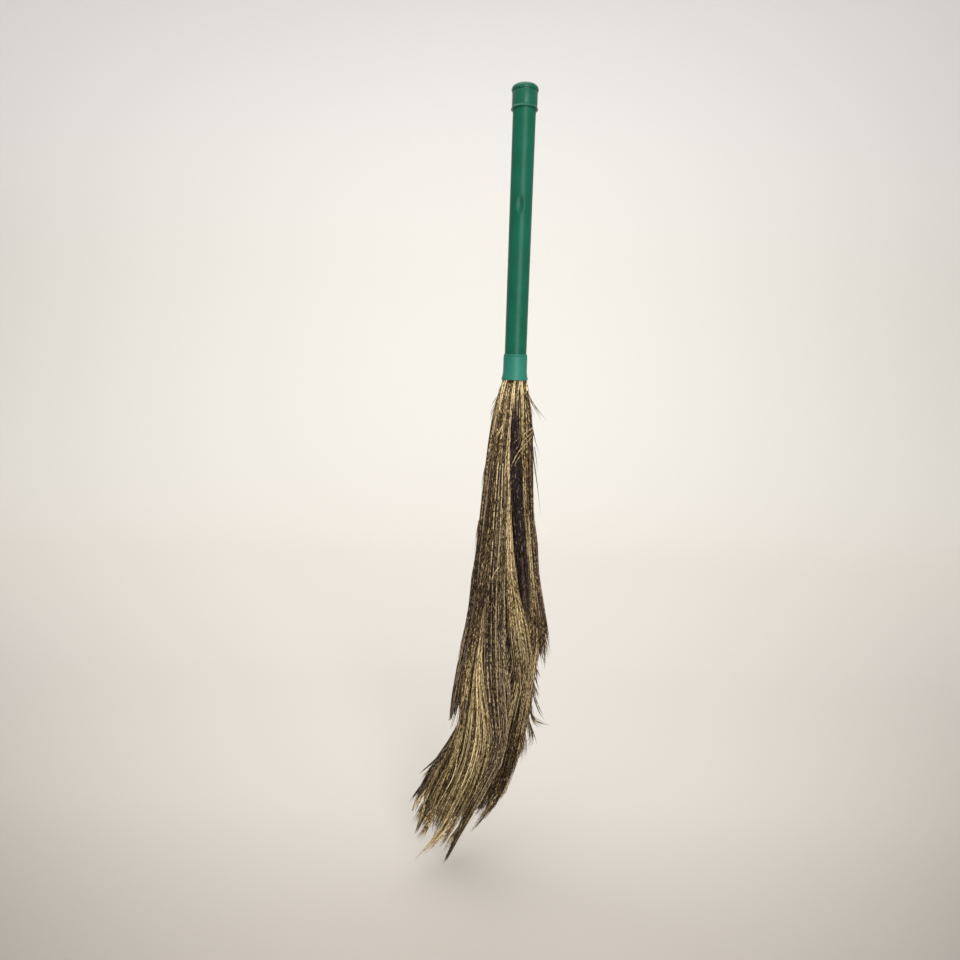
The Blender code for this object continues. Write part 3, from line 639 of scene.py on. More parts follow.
def turned_mesh(name, profile, height, steps, closed):
    """Turn a profile of (radius, height) points about the handle's axis."""
    shape = bmesh.new()
    verts = [shape.verts.new((radius, 0, height + level)) for radius, level in profile]
    edges = [shape.edges.new(pair) for pair in zip(verts, verts[1:])]
    if closed:
        edges.append(shape.edges.new((verts[-1], verts[0])))
    bmesh.ops.spin(
        shape, geom=verts + edges, axis=(0, 0, 1), cent=(0, 0, 0), angle=math.tau, steps=steps,
    )
    bmesh.ops.remove_doubles(shape, verts=shape.verts[:], dist=0.00001)
    bmesh.ops.recalc_face_normals(shape, faces=shape.faces[:])
    mesh = bpy.data.meshes.new(name)
    shape.to_mesh(mesh)
    shape.free()
    mesh.shade_smooth()
    mesh.set_sharp_from_angle(angle=math.radians(32))
    return mesh


# Cuts across the tube: half of those in the dent, and the distance of the others
DENT_STEPS = 16
TUBE_STEP = 0.012


class BROOM_OT_add_handle_tube(bpy.types.Operator):
    """Add the extruded tube with the dent in its front"""

    bl_idname = "broom.add_handle_tube"
    bl_label = "Handle Tube"

    def execute(self, context):
        plastic = context.scene.broom_plastic
        middle = (TUBE_LOW.z + TUBE_HIGH.z) / 2
        dent = middle + plastic.dent_rise
        shape = bmesh.new()
        bmesh.ops.create_cone(
            shape, cap_ends=False, segments=plastic.tube_sides, radius1=TUBE_RADIUS,
            radius2=TUBE_RADIUS, depth=TUBE_HIGH.z - TUBE_LOW.z,
            matrix=Matrix.Translation((0, 0, middle)),
        )
        steps = range(-DENT_STEPS, DENT_STEPS + 1)
        levels = [dent + plastic.dent_half_height * step / DENT_STEPS for step in steps]
        level = TUBE_LOW.z + TUBE_STEP
        while level < TUBE_HIGH.z - TUBE_STEP / 2:
            if abs(level - dent) > plastic.dent_half_height:
                levels.append(level)
            level += TUBE_STEP
        for level in levels:
            everything = shape.verts[:] + shape.edges[:] + shape.faces[:]
            bmesh.ops.bisect_plane(shape, geom=everything, plane_co=(0, 0, level), plane_no=(0, 0, 1))
        for vertex in shape.verts:
            turn = math.atan2(vertex.co.y, vertex.co.x) - FRONT_ANGLE
            around = math.remainder(turn, math.tau) * TUBE_RADIUS / plastic.dent_half_width
            up = (vertex.co.z - dent) / plastic.dent_half_height
            away = min(1, around ** 2 + up ** 2)
            share = 1 - plastic.dent_depth * (1 - away) ** 2 / TUBE_RADIUS
            vertex.co.x *= share
            vertex.co.y *= share
        mesh = bpy.data.meshes.new("tube")
        shape.to_mesh(mesh)
        shape.free()
        mesh.shade_smooth()
        piece = add_piece("tube", mesh)
        wall = piece.modifiers.new("Wall", "SOLIDIFY")
        wall.thickness = plastic.tube_wall
        wall.offset = -1
        finish_piece(piece, ["handle_tube"], extruded_polypropylene(
            "extruded_polypropylene_tube", plastic.tube_colour, 0.32, 0.17))
        return {"FINISHED"}


# Rounding of the plastic's shoulders and feet, and height and undercut of its grooves
SHOULDER_ROUND = 0.0005
FOOT_ROUND = 0.0003
GROOVE_HEIGHT = 0.0007
UNDERCUT = 0.0001

# The cap's sizes: wall, dome's flat middle and how round it is, rolled rim, hollow, and lip
CAP_WALL = 0.0011
CROWN_FLAT = 0.005
DOME_ROUND = 0.83
DOME_STEPS = 24
RIM_RADIUS = 0.0016
RIM_REACH = 0.0008
RIM_RISE = 0.0023
DOME_WALL = 0.0016
HOLLOW_INSET = 0.0018
LIP_REACH = 0.0008
LIP_FOOT = 0.0008
LIP_HEIGHT = 0.0027
LIP_STEPS = 11


class BROOM_OT_add_end_cap(bpy.types.Operator):
    """Add the moulded cap with its dome, rolled rim and lip"""

    bl_idname = "broom.add_end_cap"
    bl_label = "End Cap"

    def execute(self, context):
        plastic = context.scene.broom_plastic
        bore = TUBE_RADIUS + plastic.seat_gap
        sleeve = bore + CAP_WALL
        rim = sleeve + RIM_REACH - RIM_RADIUS
        under_rim = RIM_RISE - RIM_RADIUS
        crown = CAP_HIGH.z - TUBE_HIGH.z
        bottom = CAP_LOW.z - TUBE_HIGH.z
        profile = [(0, crown), (CROWN_FLAT, crown)]
        for step in range(1, DOME_STEPS):
            angle = math.radians(90 * step / DOME_STEPS)
            profile.append((
                CROWN_FLAT + (rim + RIM_RADIUS - CROWN_FLAT) * math.sin(angle) ** DOME_ROUND,
                RIM_RISE + (crown - RIM_RISE) * math.cos(angle) ** DOME_ROUND,
            ))
        profile += arc(rim, RIM_RISE, RIM_RADIUS, RIM_RADIUS, 0, -62, 10)
        shoulder = sleeve - SHOULDER_ROUND
        groove = arc(shoulder, under_rim - GROOVE_HEIGHT, -UNDERCUT, GROOVE_HEIGHT, -90, 90, 4)
        profile += groove[::-1]
        profile += arc(shoulder, under_rim - 2 * GROOVE_HEIGHT - SHOULDER_ROUND,
                       SHOULDER_ROUND, SHOULDER_ROUND, 90, 0, 4)
        for step in range(LIP_STEPS + 1):
            share = step / LIP_STEPS
            profile.append((sleeve + LIP_REACH * share ** 2,
                            bottom + LIP_FOOT + LIP_HEIGHT * (1 - share)))
        foot = sleeve + LIP_REACH - FOOT_ROUND
        profile += arc(foot, bottom + FOOT_ROUND, FOOT_ROUND, FOOT_ROUND, 0, -90, 4)
        profile += [(bore, bottom), (bore, plastic.seat_gap)]
        hollow = bore - HOLLOW_INSET
        profile.append((hollow, plastic.seat_gap))
        profile += arc(0, RIM_RISE, hollow, crown - DOME_WALL - RIM_RISE, 0, 90, 10)
        profile[-1] = (0, crown - DOME_WALL)
        mesh = turned_mesh("cap", profile, TUBE_HIGH.z, plastic.tube_sides, False)
        finish_piece(add_piece("cap", mesh), ["end_cap"], extruded_polypropylene(
            "moulded_polypropylene_cap", plastic.cap_colour, 0.25, 0.30))
        return {"FINISHED"}


# The collar's sizes: wall, bead at its top, neck's inset, shoulder, flare, mouth and throat
COLLAR_WALL = 0.0010
BEAD_HEIGHT = 0.0011
BEAD_REACH = 0.0004
NECK_INSET = 0.0006
SHOULDER_DROP = 0.0008
SHOULDER_HEIGHT = 0.0006
FLARE_HEIGHT = 0.0117
FLARE_STEPS = 14
MOUTH_WALL = 0.0009
THROAT_DROP = 0.0045


class BROOM_OT_add_end_collar(bpy.types.Operator):
    """Add the moulded collar that flares over the grass"""

    bl_idname = "broom.add_end_collar"
    bl_label = "End Collar"

    def execute(self, context):
        plastic = context.scene.broom_plastic
        bore = TUBE_RADIUS + plastic.seat_gap
        sleeve = bore + COLLAR_WALL
        neck = sleeve - NECK_INSET
        inside = TUBE_RADIUS - plastic.tube_wall
        top = COLLAR_HIGH.z - TUBE_LOW.z
        bottom = COLLAR_LOW.z - TUBE_LOW.z
        step_top = top - 2 * BEAD_HEIGHT
        profile = [(bore, top), (neck + UNDERCUT, top)]
        profile += arc(neck, top - BEAD_HEIGHT, BEAD_REACH, BEAD_HEIGHT, 70, -70, 12)
        profile.append((neck - UNDERCUT, step_top))
        profile += arc(sleeve - SHOULDER_ROUND, step_top - SHOULDER_DROP,
                       SHOULDER_ROUND, SHOULDER_HEIGHT, 80, 0, 6)
        flare = COLLAR_RADIUS - sleeve
        for step in range(FLARE_STEPS + 1):
            share = step / FLARE_STEPS
            profile.append((sleeve + flare * share ** 2,
                            bottom + FOOT_ROUND + FLARE_HEIGHT * (1 - share)))
        foot = COLLAR_RADIUS - FOOT_ROUND
        profile += arc(foot, bottom + FOOT_ROUND, FOOT_ROUND, FOOT_ROUND, 0, -90, 4)
        profile += [(COLLAR_RADIUS - MOUTH_WALL, bottom), (inside, -THROAT_DROP)]
        profile += [(inside, -plastic.seat_gap), (bore, -plastic.seat_gap)]
        mesh = turned_mesh("collar", profile, TUBE_LOW.z, plastic.tube_sides, True)
        finish_piece(add_piece("collar", mesh), ["end_collar"], extruded_polypropylene(
            "moulded_polypropylene_collar", plastic.collar_colour, 0.42, 0.28))
        return {"FINISHED"}


def smooth_rows(rows, at):
    """Read a smooth curve through rows of (position, value, ...) at many positions."""
    table = np.array(rows, float)
    where, values = table[:, 0], table[:, 1:]
    slopes = np.gradient(values, where, axis=0)
    at = np.clip(at, where[0], where[-1])
    index = np.clip(np.searchsorted(where, at, side="right") - 1, 0, len(where) - 2)
    step = (where[index + 1] - where[index])[..., None]
    t = (at - where[index])[..., None] / step
    keep, move = (1 + 2 * t) * (1 - t) ** 2, t ** 2 * (3 - 2 * t)
    return (
        keep * values[index] + move * values[index + 1]
        + t * (1 - t) ** 2 * step * slopes[index] + t ** 2 * (t - 1) * step * slopes[index + 1]
    )


# Where the hanks start above the collar's mouth, in mm: drop, then for each ring how many hanks
# it holds, its radius and their half width
ROOT_DROP = -6.0
OUTER_RING = (12, 10.3, 3.4)
INNER_RING = (6, 5.0, 3.6)

# The share of the skirt's half width beyond which its face no longer bends back
FACE_LIMIT = 0.97


def root_row(node):
    """Where a hank starts inside the collar: drop, place, and half sizes, in mm."""
    kind, number = node.rsplit("_", 1)
    count, ring, half = OUTER_RING if kind.startswith("outer") else INNER_RING
    angle = FRONT_ANGLE + math.tau * (int(number) - 1) / count
    return (ROOT_DROP, ring * math.cos(angle), ring * math.sin(angle), half, half)


def front_rows(node, hank):
    """A front hank's route as rows of drop, x, y, half width and half depth, in mm."""
    rows = [root_row(node)]
    for drop, middle, half_width, sink in hank["route"]:
        left, right, depth = smooth_rows(OUTLINE_MM, np.array([drop]))[0]
        across = (middle - (left + right) / 2) / ((right - left) / 2)
        face = depth * math.sqrt(1 - min(FACE_LIMIT, abs(across)) ** 2)
        half_depth = min(10, 2.5 + 0.5 * half_width)
        rows.append((drop, middle, -max(face - max(sink, half_depth), -4), half_width, half_depth))
    return rows


def back_rows(node, hank):
    """A side or back hank's route, which follows the skirt's outline, as rows in mm."""
    rows = [root_row(node)]
    for drop, left, right, depth in OUTLINE_MM[1:]:
        if drop > hank["tip"] + 30:
            break
        share = drop / hank["tip"]
        across = hank["across"][0] * (1 - share) + hank["across"][1] * share
        half = (right - left) / 2
        half_width = max(3.0, half * hank["width"])
        half_depth = min(11, 3 + 0.5 * half_width)
        reach = depth * math.sqrt(1 - min(FACE_LIMIT, abs(across)) ** 2)
        y = hank["face"] * max(reach - max(hank["sink"], half_depth), 0)
        rows.append((drop, (left + right) / 2 + across * half, y, half_width, half_depth))
    return rows


# Turn and share of tone from one tube to the next, and what keeps a division from zero
GOLDEN_ANGLE = 2.4
GOLDEN_SHARE = 0.618
TINY = 1e-12

# The texture map's strips: rows of them, margin and width in a column, start and length in a row,
# and for a husk on an older strip how far up it may lie and the height of one of its rings
STRIP_ROWS = 3
STRIP_MARGIN = 0.1
STRIP_WIDTH = 0.8
STRIP_START = 0.03
STRIP_LENGTH = 0.94
HUSK_REACH = 0.9
HUSK_STEP = 0.02


class GrassMesh:
    """Gathers thin three-sided tubes with their tones and texture strips into one mesh."""

    def __init__(self, cells):
        self.columns = max(1, math.ceil(cells / STRIP_ROWS))
        self.verts = []
        self.faces = []
        self.tones = []
        self.places = []
        self.vertex_count = 0
        self.used = 0

    def add(self, points, radii, tones, cells=None, level=None):
        """Add tubes along points (tube, ring, 3) of these radii and tones (tube, ring, 3).

        Each tube gets a strip of the texture map, or lies on the strip of an older one.
        """
        tubes, rings = radii.shape
        along = np.gradient(points, axis=1)
        along /= np.linalg.norm(along, axis=2, keepdims=True) + TINY
        side = np.cross(along, np.array([0.0, 1.0, 0.0]))
        side /= np.linalg.norm(side, axis=2, keepdims=True) + TINY
        third = np.cross(along, side)
        if cells is None:
            cells = self.used + np.arange(tubes)
            self.used += tubes
        first_turn = (cells * GOLDEN_ANGLE)[:, None, None]
        corners = []
        for corner in range(3):
            turn = first_turn + math.tau * corner / 3
            corners.append(points + radii[..., None] * (np.cos(turn) * side + np.sin(turn) * third))
        verts = np.stack(corners, axis=2).reshape(-1, 3)
        self.verts.append(verts)
        own = np.broadcast_to((cells * GOLDEN_SHARE % 1)[:, None, None], (tubes, rings, 1))
        tones = np.concatenate([tones, own], axis=2)
        self.tones.append(np.repeat(tones.reshape(-1, 4), 3, axis=0))
        left = (cells % self.columns + STRIP_MARGIN) / self.columns
        right = left + STRIP_WIDTH / self.columns
        row = cells // self.columns
        for tube in range(tubes):
            start = self.vertex_count + tube * rings * 3
            self.faces.append((start + 2, start + 1, start))
            if level is None:
                low = row[tube] + STRIP_START
                rise = STRIP_LENGTH / (rings - 1)
            else:
                low = row[tube] + STRIP_START + HUSK_REACH * level[tube]
                rise = HUSK_STEP
            steps = [(low + rise * ring) / STRIP_ROWS for ring in range(rings)]
            near, far = left[tube], right[tube]
            self.places += [(near, steps[0]), (far, steps[0]), (far, steps[1])]
            for ring in range(rings - 1):
                low = start + ring * 3
                for corner in range(3):
                    next_corner = (corner + 1) % 3
                    self.faces.append((low + corner, low + next_corner,
                                       low + 3 + next_corner, low + 3 + corner))
                    self.places += [(near, steps[ring]), (far, steps[ring]),
                                    (far, steps[ring + 1]), (near, steps[ring + 1])]
            end = start + (rings - 1) * 3
            self.faces.append((end, end + 1, end + 2))
            self.places += [(near, steps[-2]), (far, steps[-1]), (near, steps[-1])]
        self.vertex_count += len(verts)
        return cells

    def to_mesh(self, name):
        """The gathered tubes as a mesh with its tone attributes and texture map."""
        mesh = bpy.data.meshes.new(name)
        verts = np.concatenate(self.verts)
        mesh.from_pydata(verts.tolist(), [], self.faces)
        tones = np.concatenate(self.tones)
        for column, attribute in enumerate(TONE_ATTRIBUTES):
            layer = mesh.attributes.new(attribute, "FLOAT", "POINT")
            layer.data.foreach_set("value", tones[:, column].astype(np.float32))
        strips = mesh.uv_layers.new(name="OFBake")
        strips.data.foreach_set("uv", np.array(self.places, np.float32).ravel())
        mesh.shade_smooth()
        return mesh


def disc(random, count, inner):
    """Points in a round plan of radius 1, none nearer the middle than inner."""
    angle = random.uniform(0, math.tau, count)
    radius = np.sqrt(random.uniform(inner ** 2, 1, count))
    return np.stack([radius * np.cos(angle), radius * np.sin(angle)], axis=1)


def branch_waves(random, drops, size):
    """Slow waves across a branch, in mm, that grow away from the collar."""
    count = len(drops)
    total = 0
    for wave in BRANCH_WAVES:
        phase = random.uniform(0, math.tau, (count, 1, 2))
        reach = random.normal(0, 0.5, (count, 1, 2)) * wave / BRANCH_WAVES[0]
        total = total + reach * np.sin(drops[..., None] * math.tau / wave + phase)
    return total * size * np.clip(drops / 120, 0.15, 1)[..., None]


# Tones that the wisps and the single branches add to their hank's, and how many have each
WISP_ACCENTS = (-0.18, 0.0, 0.18)
WISP_SHARES = (0.25, 0.55, 0.2)
# The dark branches lie deeper in the hank and the light ones on top, so the dark ones are partly
# painted shade in the gaps between branches and partly their own tone
BRANCH_ACCENTS = (-0.88, -0.38, 0.45)
BRANCH_SHARES = (0.44, 0.26, 0.30)

# Where along a hank its tips begin to gather into locks, how fast and how strongly
GATHER_FROM = 0.6
GATHER_POWER = 1.5
GATHER_SHARE = 0.2

# Long and short waves of the hanks' wisps and of single branches, in mm
SWAY_WAVES = (170.0, 75.0)
SWAY_SIZE = 0.6
BRANCH_WAVES = (150.0, 62.0)

# Where the grass starts inside the collar, as a drop, how many branches start there, where the
# bare stems end and how long the twigs are, in mm
GRASS_START = -5.0
COLLAR_SHARE = 0.18
STEM_ENDS = (60, 210)
TWIG_LENGTHS = (50, 150)


class Hank:
    """One hank's route, wisps, locks and colouring, on which its branches grow.

    A wisp is a few branches that keep together and share a tone. A lock is a part of the hank
    that draws to a point at the tip.
    """

    def __init__(self, rows, colouring, tip, tone, locks, wisps, random):
        self.rows = rows
        self.colouring = np.array(colouring, float).T
        self.tip = tip
        self.random = random
        self.lock_plan = disc(random, locks, 0.2)
        self.lock_tip = 1 - 0.09 * random.uniform(0, 1, locks)
        self.lock_bend = random.normal(0, 0.25, (locks, 2))
        self.wisp_plan = disc(random, wisps, 0.0)
        self.wisp_turn = random.uniform(0, math.tau, (wisps, 2, 2))
        self.wisp_reach = random.normal(0, 1, (wisps, 2, 2))
        accent = random.choice(WISP_ACCENTS, wisps, p=WISP_SHARES)
        self.wisp_tone = random.normal(tone, 0.08, wisps) + accent

    def points(self, drops, plan, lock, wisp, swing, stem):
        """Carry plan points to their places at these drops in mm: (tube, ring, 3) in metres."""
        route = smooth_rows(self.rows, drops)
        share = drops / self.tip
        gather = np.clip((share - GATHER_FROM) / (1 - GATHER_FROM), 0, 1)[..., None]
        gather = gather ** GATHER_POWER * GATHER_SHARE
        home = self.lock_plan[lock][:, None, :] + self.lock_bend[lock][:, None, :] * gather
        spot = plan * (1 - gather) + home * gather
        if not stem:
            spot = spot * np.clip(0.6 + 0.4 * drops / 25, 0.6, 1)[..., None]
        sway = 0
        for index, wave in enumerate(SWAY_WAVES):
            angle = drops[..., None] * math.tau / wave + self.wisp_turn[wisp, index][:, None, :]
            reach = self.wisp_reach[wisp, index][:, None, :]
            sway = sway + reach * np.sin(angle) * wave / SWAY_WAVES[0]
        sway = sway * SWAY_SIZE * np.clip(drops / 150, 0.1, 1)[..., None]
        x = route[..., 0] + spot[..., 0] * route[..., 2] + swing[..., 0] + sway[..., 0]
        y = route[..., 1] + spot[..., 1] * route[..., 3] + swing[..., 1] + sway[..., 1]
        z = MOUTH_HEIGHT / MILLIMETRE - drops
        return np.stack([x, y, z], axis=-1) * MILLIMETRE

    def tones(self, shade, drops, stem_end, stem):
        """Tone, straw share and plum share at each ring of each branch."""
        where, straw, plum, lift = self.colouring
        straw = np.interp(drops, where, straw)
        plum = np.interp(drops, where, plum)
        shade = shade + np.interp(drops, where, lift)
        jitter = self.random.normal(0, 0.18, (len(drops), 1))
        straw = np.clip(straw + jitter, 0, 1)
        plum = np.clip(plum - jitter, 0, 1)
        near = np.clip(1 - drops / stem_end, 0, 1)
        if stem:
            straw = straw + (1 - straw) * near
            shade = shade + 0.15 * near
        # Branches darken towards the collar's mouth: painted shade under the collar, where the roots
        # crowd together
        else:
            shade = shade - 0.2 * near
        plum = plum * (1 - near)
        return np.stack([np.clip(shade, 0, 1), straw, plum], axis=-1)


def grow_branches(grass, hank, start, end, points, radius, spread, swing, lean, stem=False):
    """Add branches that start and end at these drops in mm, and return where they run.

    Spread is how far they drift from their own place, swing the size of their waves and lean how
    far they bend outwards. A stem is bare and ripe near the collar.
    """
    count = len(start)
    random = hank.random
    plan = disc(random, count, 0.6 if stem else 0.0)
    gathered = 0.0 if stem else 0.35
    lock = np.argmin(((plan[:, None] - hank.lock_plan[None]) ** 2).sum(2), axis=1)
    wisp = np.argmin(((plan[:, None] - hank.wisp_plan[None]) ** 2).sum(2), axis=1)
    accent = random.choice(BRANCH_ACCENTS, count, p=BRANCH_SHARES)
    # Dark branches are drawn inwards and light ones outwards: the dark ones deep in the hank are
    # painted shade between the branches, on top of their own tone
    plan = (plan + (hank.wisp_plan[wisp] - plan) * gathered) * (0.9 + 0.11 * accent[:, None])
    end = np.minimum(end, hank.tip * hank.lock_tip[lock])
    end = np.maximum(end, start + 12)
    t = np.linspace(0, 1, points)[None, :]
    drops = start[:, None] + (end - start)[:, None] * t
    drift = random.normal(0, spread, (count, 1, 2)) * t[..., None] ** 1.6
    outward = plan[:, None, :] * lean * t[..., None] ** 2
    waves = branch_waves(random, drops, swing)
    places = hank.points(drops, plan[:, None, :] + drift + outward, lock, wisp, waves, stem)
    taper = np.clip((1 - t) / 0.45, 0.1, 1) ** 0.7
    radii = radius * random.uniform(0.75, 1.25, (count, 1)) * taper
    shade = hank.wisp_tone[wisp] + accent + random.normal(0, 0.1, count)
    tones = hank.tones(shade[:, None], drops, random.uniform(15, 70, (count, 1)), stem)
    cells = grass.add(places, np.broadcast_to(radii, drops.shape), tones)
    return places, tones, cells


def grow_husks(grass, hank, count, grown, radius, length):
    """Add tiny husks that stand off the branches that have grown."""
    random = hank.random
    for places, tones, cells in grown:
        share = places.shape[0] * places.shape[1]
        here = int(count * share / sum(g[0].shape[0] * g[0].shape[1] for g in grown))
        tube = random.integers(0, places.shape[0], here)
        ring = random.integers(1, places.shape[1] - 1, here)
        part = random.uniform(0, 1, (here, 1))
        foot = places[tube, ring] * (1 - part) + places[tube, ring + 1] * part
        along = places[tube, ring + 1] - places[tube, ring]
        along /= np.linalg.norm(along, axis=1, keepdims=True)
        tilt = random.normal(0, 0.16, (here, 3))
        reach = length * random.uniform(0.5, 1.3, (here, 1))
        tip = foot + (along + tilt) * reach
        points = np.stack([foot, (foot + tip) / 2, tip], axis=1)
        radii = radius * np.array([[0.5, 1.0, 0.12]]) * random.uniform(0.7, 1.2, (here, 1))
        tone = tones[tube, ring]
        tone[:, 0] = np.clip(tone[:, 0] + random.normal(0.0, 0.3, here), 0, 1)
        grass.add(points, radii, np.repeat(tone[:, None], 3, axis=1), cells[tube],
                  ring / places.shape[1])


# Points along a loose hair, and the lightness above which a wisp is ripe straw
WISP_POINTS = 9
RIPE_LIGHTNESS = 0.7


def grow_wisps(grass, node, random):
    """Add the hank's loose wisps by their routes, each with hairs that stray from it."""
    for hairs, lightness, radius, route in WISPS.get(node, ()):
        t = np.linspace(0, 1, WISP_POINTS)
        rows = [(index / (len(route) - 1), *row) for index, row in enumerate(route)]
        foot = random.uniform(0, 0.5, (hairs, 1))
        end = 1 - 0.4 * random.uniform(0, 1, (hairs, 1)) ** 2
        foot[0], end[0] = 0, 1
        route_places = smooth_rows(rows, foot + (end - foot) * t)
        drop, x, y = np.moveaxis(route_places, -1, 0)
        stray = random.normal(0, 1.8, (hairs, 1, 3)) * (0.5 + 0.5 * t[None, :, None])
        stray[0] = 0
        points = np.stack([x, y, MOUTH_HEIGHT / MILLIMETRE - drop], axis=-1) + stray
        size = radius * random.uniform(0.9, 1.5, (hairs, 1))
        taper = np.clip((1 - t[None]) / 0.6, 0.08, 1)
        straw = 1.0 if lightness > RIPE_LIGHTNESS else 0.1
        tone = np.zeros((hairs, WISP_POINTS, 3))
        tone[..., 0] = lightness * 0.85 + random.normal(0, 0.15, (hairs, 1))
        tone[..., 1] = straw
        grass.add(points * MILLIMETRE, size * taper * MILLIMETRE, tone)


class BROOM_OT_add_hanks(bpy.types.Operator):
    """Add the eighteen hanks of dried grass, each in the place of its plain solid"""

    bl_idname = "broom.add_hanks"
    bl_label = "Grass Hanks"

    def execute(self, context):
        sizes = context.scene.broom_grass
        finishes = {slot: dried_grass("sun_dried_" + slot, *ramp) for slot, ramp in GRASSES.items()}
        for node, hank in (*FRONT_HANKS.items(), *BACK_HANKS.items()):
            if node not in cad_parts:
                raise RuntimeError(f"the packed model has no hank {node}")
            rows = front_rows(node, hank) if node in FRONT_HANKS else back_rows(node, hank)
            self.grow(sizes, node, hank, rows, finishes[hank["slot"]])
        return {"FINISHED"}

    def grow(self, sizes, node, hank, rows, finish):
        """Grow one hank's stems, branches, twigs, husks and wisps into one piece."""
        random = np.random.default_rng(hank["seed"])
        tip = hank["tip"]
        fullness = hank.get("fullness", 1.0)
        body = Hank(rows, hank["colouring"], tip, hank["tone"], sizes.locks,
                    int(sizes.tone_wisps * fullness), random)
        stems = sizes.stems
        branches = int(sizes.branches * fullness)
        twigs = int(sizes.twigs * fullness)
        husks = int(sizes.husks * fullness)
        loose = sum(row[0] for row in WISPS.get(node, ()))
        grass = GrassMesh(stems + branches + twigs + loose)
        start = np.full(stems, GRASS_START)
        end = random.uniform(*STEM_ENDS, stems)
        grow_branches(grass, body, start, end, points=10, radius=sizes.stem_radius,
                      spread=0.08, swing=0.3, lean=0.0, stem=True)
        from_collar = random.uniform(0, 1, branches) < COLLAR_SHARE
        start = np.where(from_collar, GRASS_START, 5 + tip * random.uniform(0, 0.5, branches))
        end = tip * (1 - 0.24 * random.uniform(0, 1, branches) ** 1.6)
        long = grow_branches(grass, body, start, end, points=13, radius=sizes.branch_radius,
                             spread=0.07, swing=0.35, lean=0.05)
        length = random.uniform(*TWIG_LENGTHS, twigs)
        start = 10 + (tip - 10 - 0.6 * length) * random.uniform(0, 1, twigs) ** 0.9
        short = grow_branches(grass, body, start, start + length, points=6,
                              radius=sizes.twig_radius, spread=0.12, swing=0.5, lean=0.12)
        grow_husks(grass, body, husks, (long, short), sizes.husk_radius, sizes.husk_length)
        grow_wisps(grass, node, random)
        piece = add_piece("grass_" + node, grass.to_mesh("grass_" + node))
        finish_piece(piece, [node], finish)


def split_cane(name, colours, fibre_size):
    """Cane and straw stems, split and dried: silky lengthwise fibres in pale tan."""
    made, tree, place = new_material(name)
    fibre = noise(tree, drawn_out(tree, place, 0.03), fibre_size, 3.0)
    surfaced(tree, {
        "Base Color": coloured(tree, fibre, tuple(zip((0.3, 0.55, 0.8), colours))).outputs["Color"],
        "Roughness": 0.5, "Normal": bumped(tree, fibre, 0.3, 0.0002),
    })
    return made


def galvanised_steel(name):
    """Soft steel tie wire, hot-dipped in zinc: pale grey metal with cloudy dull patches."""
    made, tree, place = new_material(name)
    cloud = noise(tree, place, 1.5, 2.0)
    surfaced(tree, {
        "Base Color": coloured(tree, cloud, ((0.3, "#8f9090"), (0.7, "#c4c5c2"))).outputs["Color"],
        "Metallic": 1.0, "Roughness": ranged(tree, cloud, (0.0, 1.0), (0.28, 0.5)),
    })
    return made


class BROOM_OT_finish_core(bpy.types.Operator):
    """Give the stems, the peg and the tie wire inside the tube their finishes"""

    bl_idname = "broom.finish_core"
    bl_label = "Packed Core"

    def execute(self, context):
        stem = split_cane("dried_grass_stem", ("#a58a5c", "#c8b184", "#e0cda6"), 0.7)
        bamboo = split_cane("split_bamboo", ("#a98850", "#cfb47c", "#e3cf9f"), 0.9)
        wire = galvanised_steel("galvanised_steel_wire")
        for name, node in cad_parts.items():
            if "stalk" in name:
                self.paint(node, stem)
            elif name == "bamboo_core_peg":
                self.paint(node, bamboo)
            elif name == "tie_wire":
                self.paint(node, wire)
        return {"FINISHED"}

    def paint(self, node, material):
        """Put one material on a solid."""
        node.data.materials.clear()
        node.data.materials.append(material)


# Soft lights: place, target, width and height, and the setting that holds the power
LIGHTS = {
    "overhead": ((-0.3, -0.1, 1.6), (0, 0, -0.4), 2.2, 2.2, "overhead_power"),
    "front_key": ((0.28, -1.4, -0.05), (0, 0, -0.25), 0.8, 1.7, "front_power"),
    "wall_wash": ((-0.15, 0.9, 1.6), (-0.1, 2.4, 0.2), 6.5, 0.8, "wall_power"),
}

# The camera's place and the way that it looks
CAMERA_PLACE = (-0.0424, -0.80, -0.1422)
CAMERA_FORWARD = (0.005, 0.9836, -0.1804)
CAMERA_UP = (-0.027, 0.1805, 0.983)

# The paper sweep: front edge, start of its bend, the bend's radius, height and half width
SWEEP_FRONT = -3.0
SWEEP_BEND = 1.4
SWEEP_RADIUS = 1.2
SWEEP_HEIGHT = 4.0
SWEEP_HALF_WIDTH = 4.0
SWEEP_STEPS = 16

# The paper's painted light falloff, a grade of colour: share of the way from the floor's front to the
# wall's top, and colour
PAINTED_FALLOFF_GRADE = (
    (0.05, "#b4ada5"), (0.11, "#d1cbc3"), (0.2, "#dad4cd"),
    (0.4, "#e5e1da"), (0.75, "#ebe9e3"), (0.9, "#e4e2df"),
)
PAPER_FRONT = 0.5
PAPER_TOP = 5.1
# The floor's painted side shade: where across it starts, how strong it is at the floor's middle, what
# is left of it a metre further back, and the least share of the paper's tone that stays
SIDE_START = -0.05
SIDE_PAINTED_SHADE = 0.6
SIDE_FADE = 0.09
LEAST_TONE = 0.6


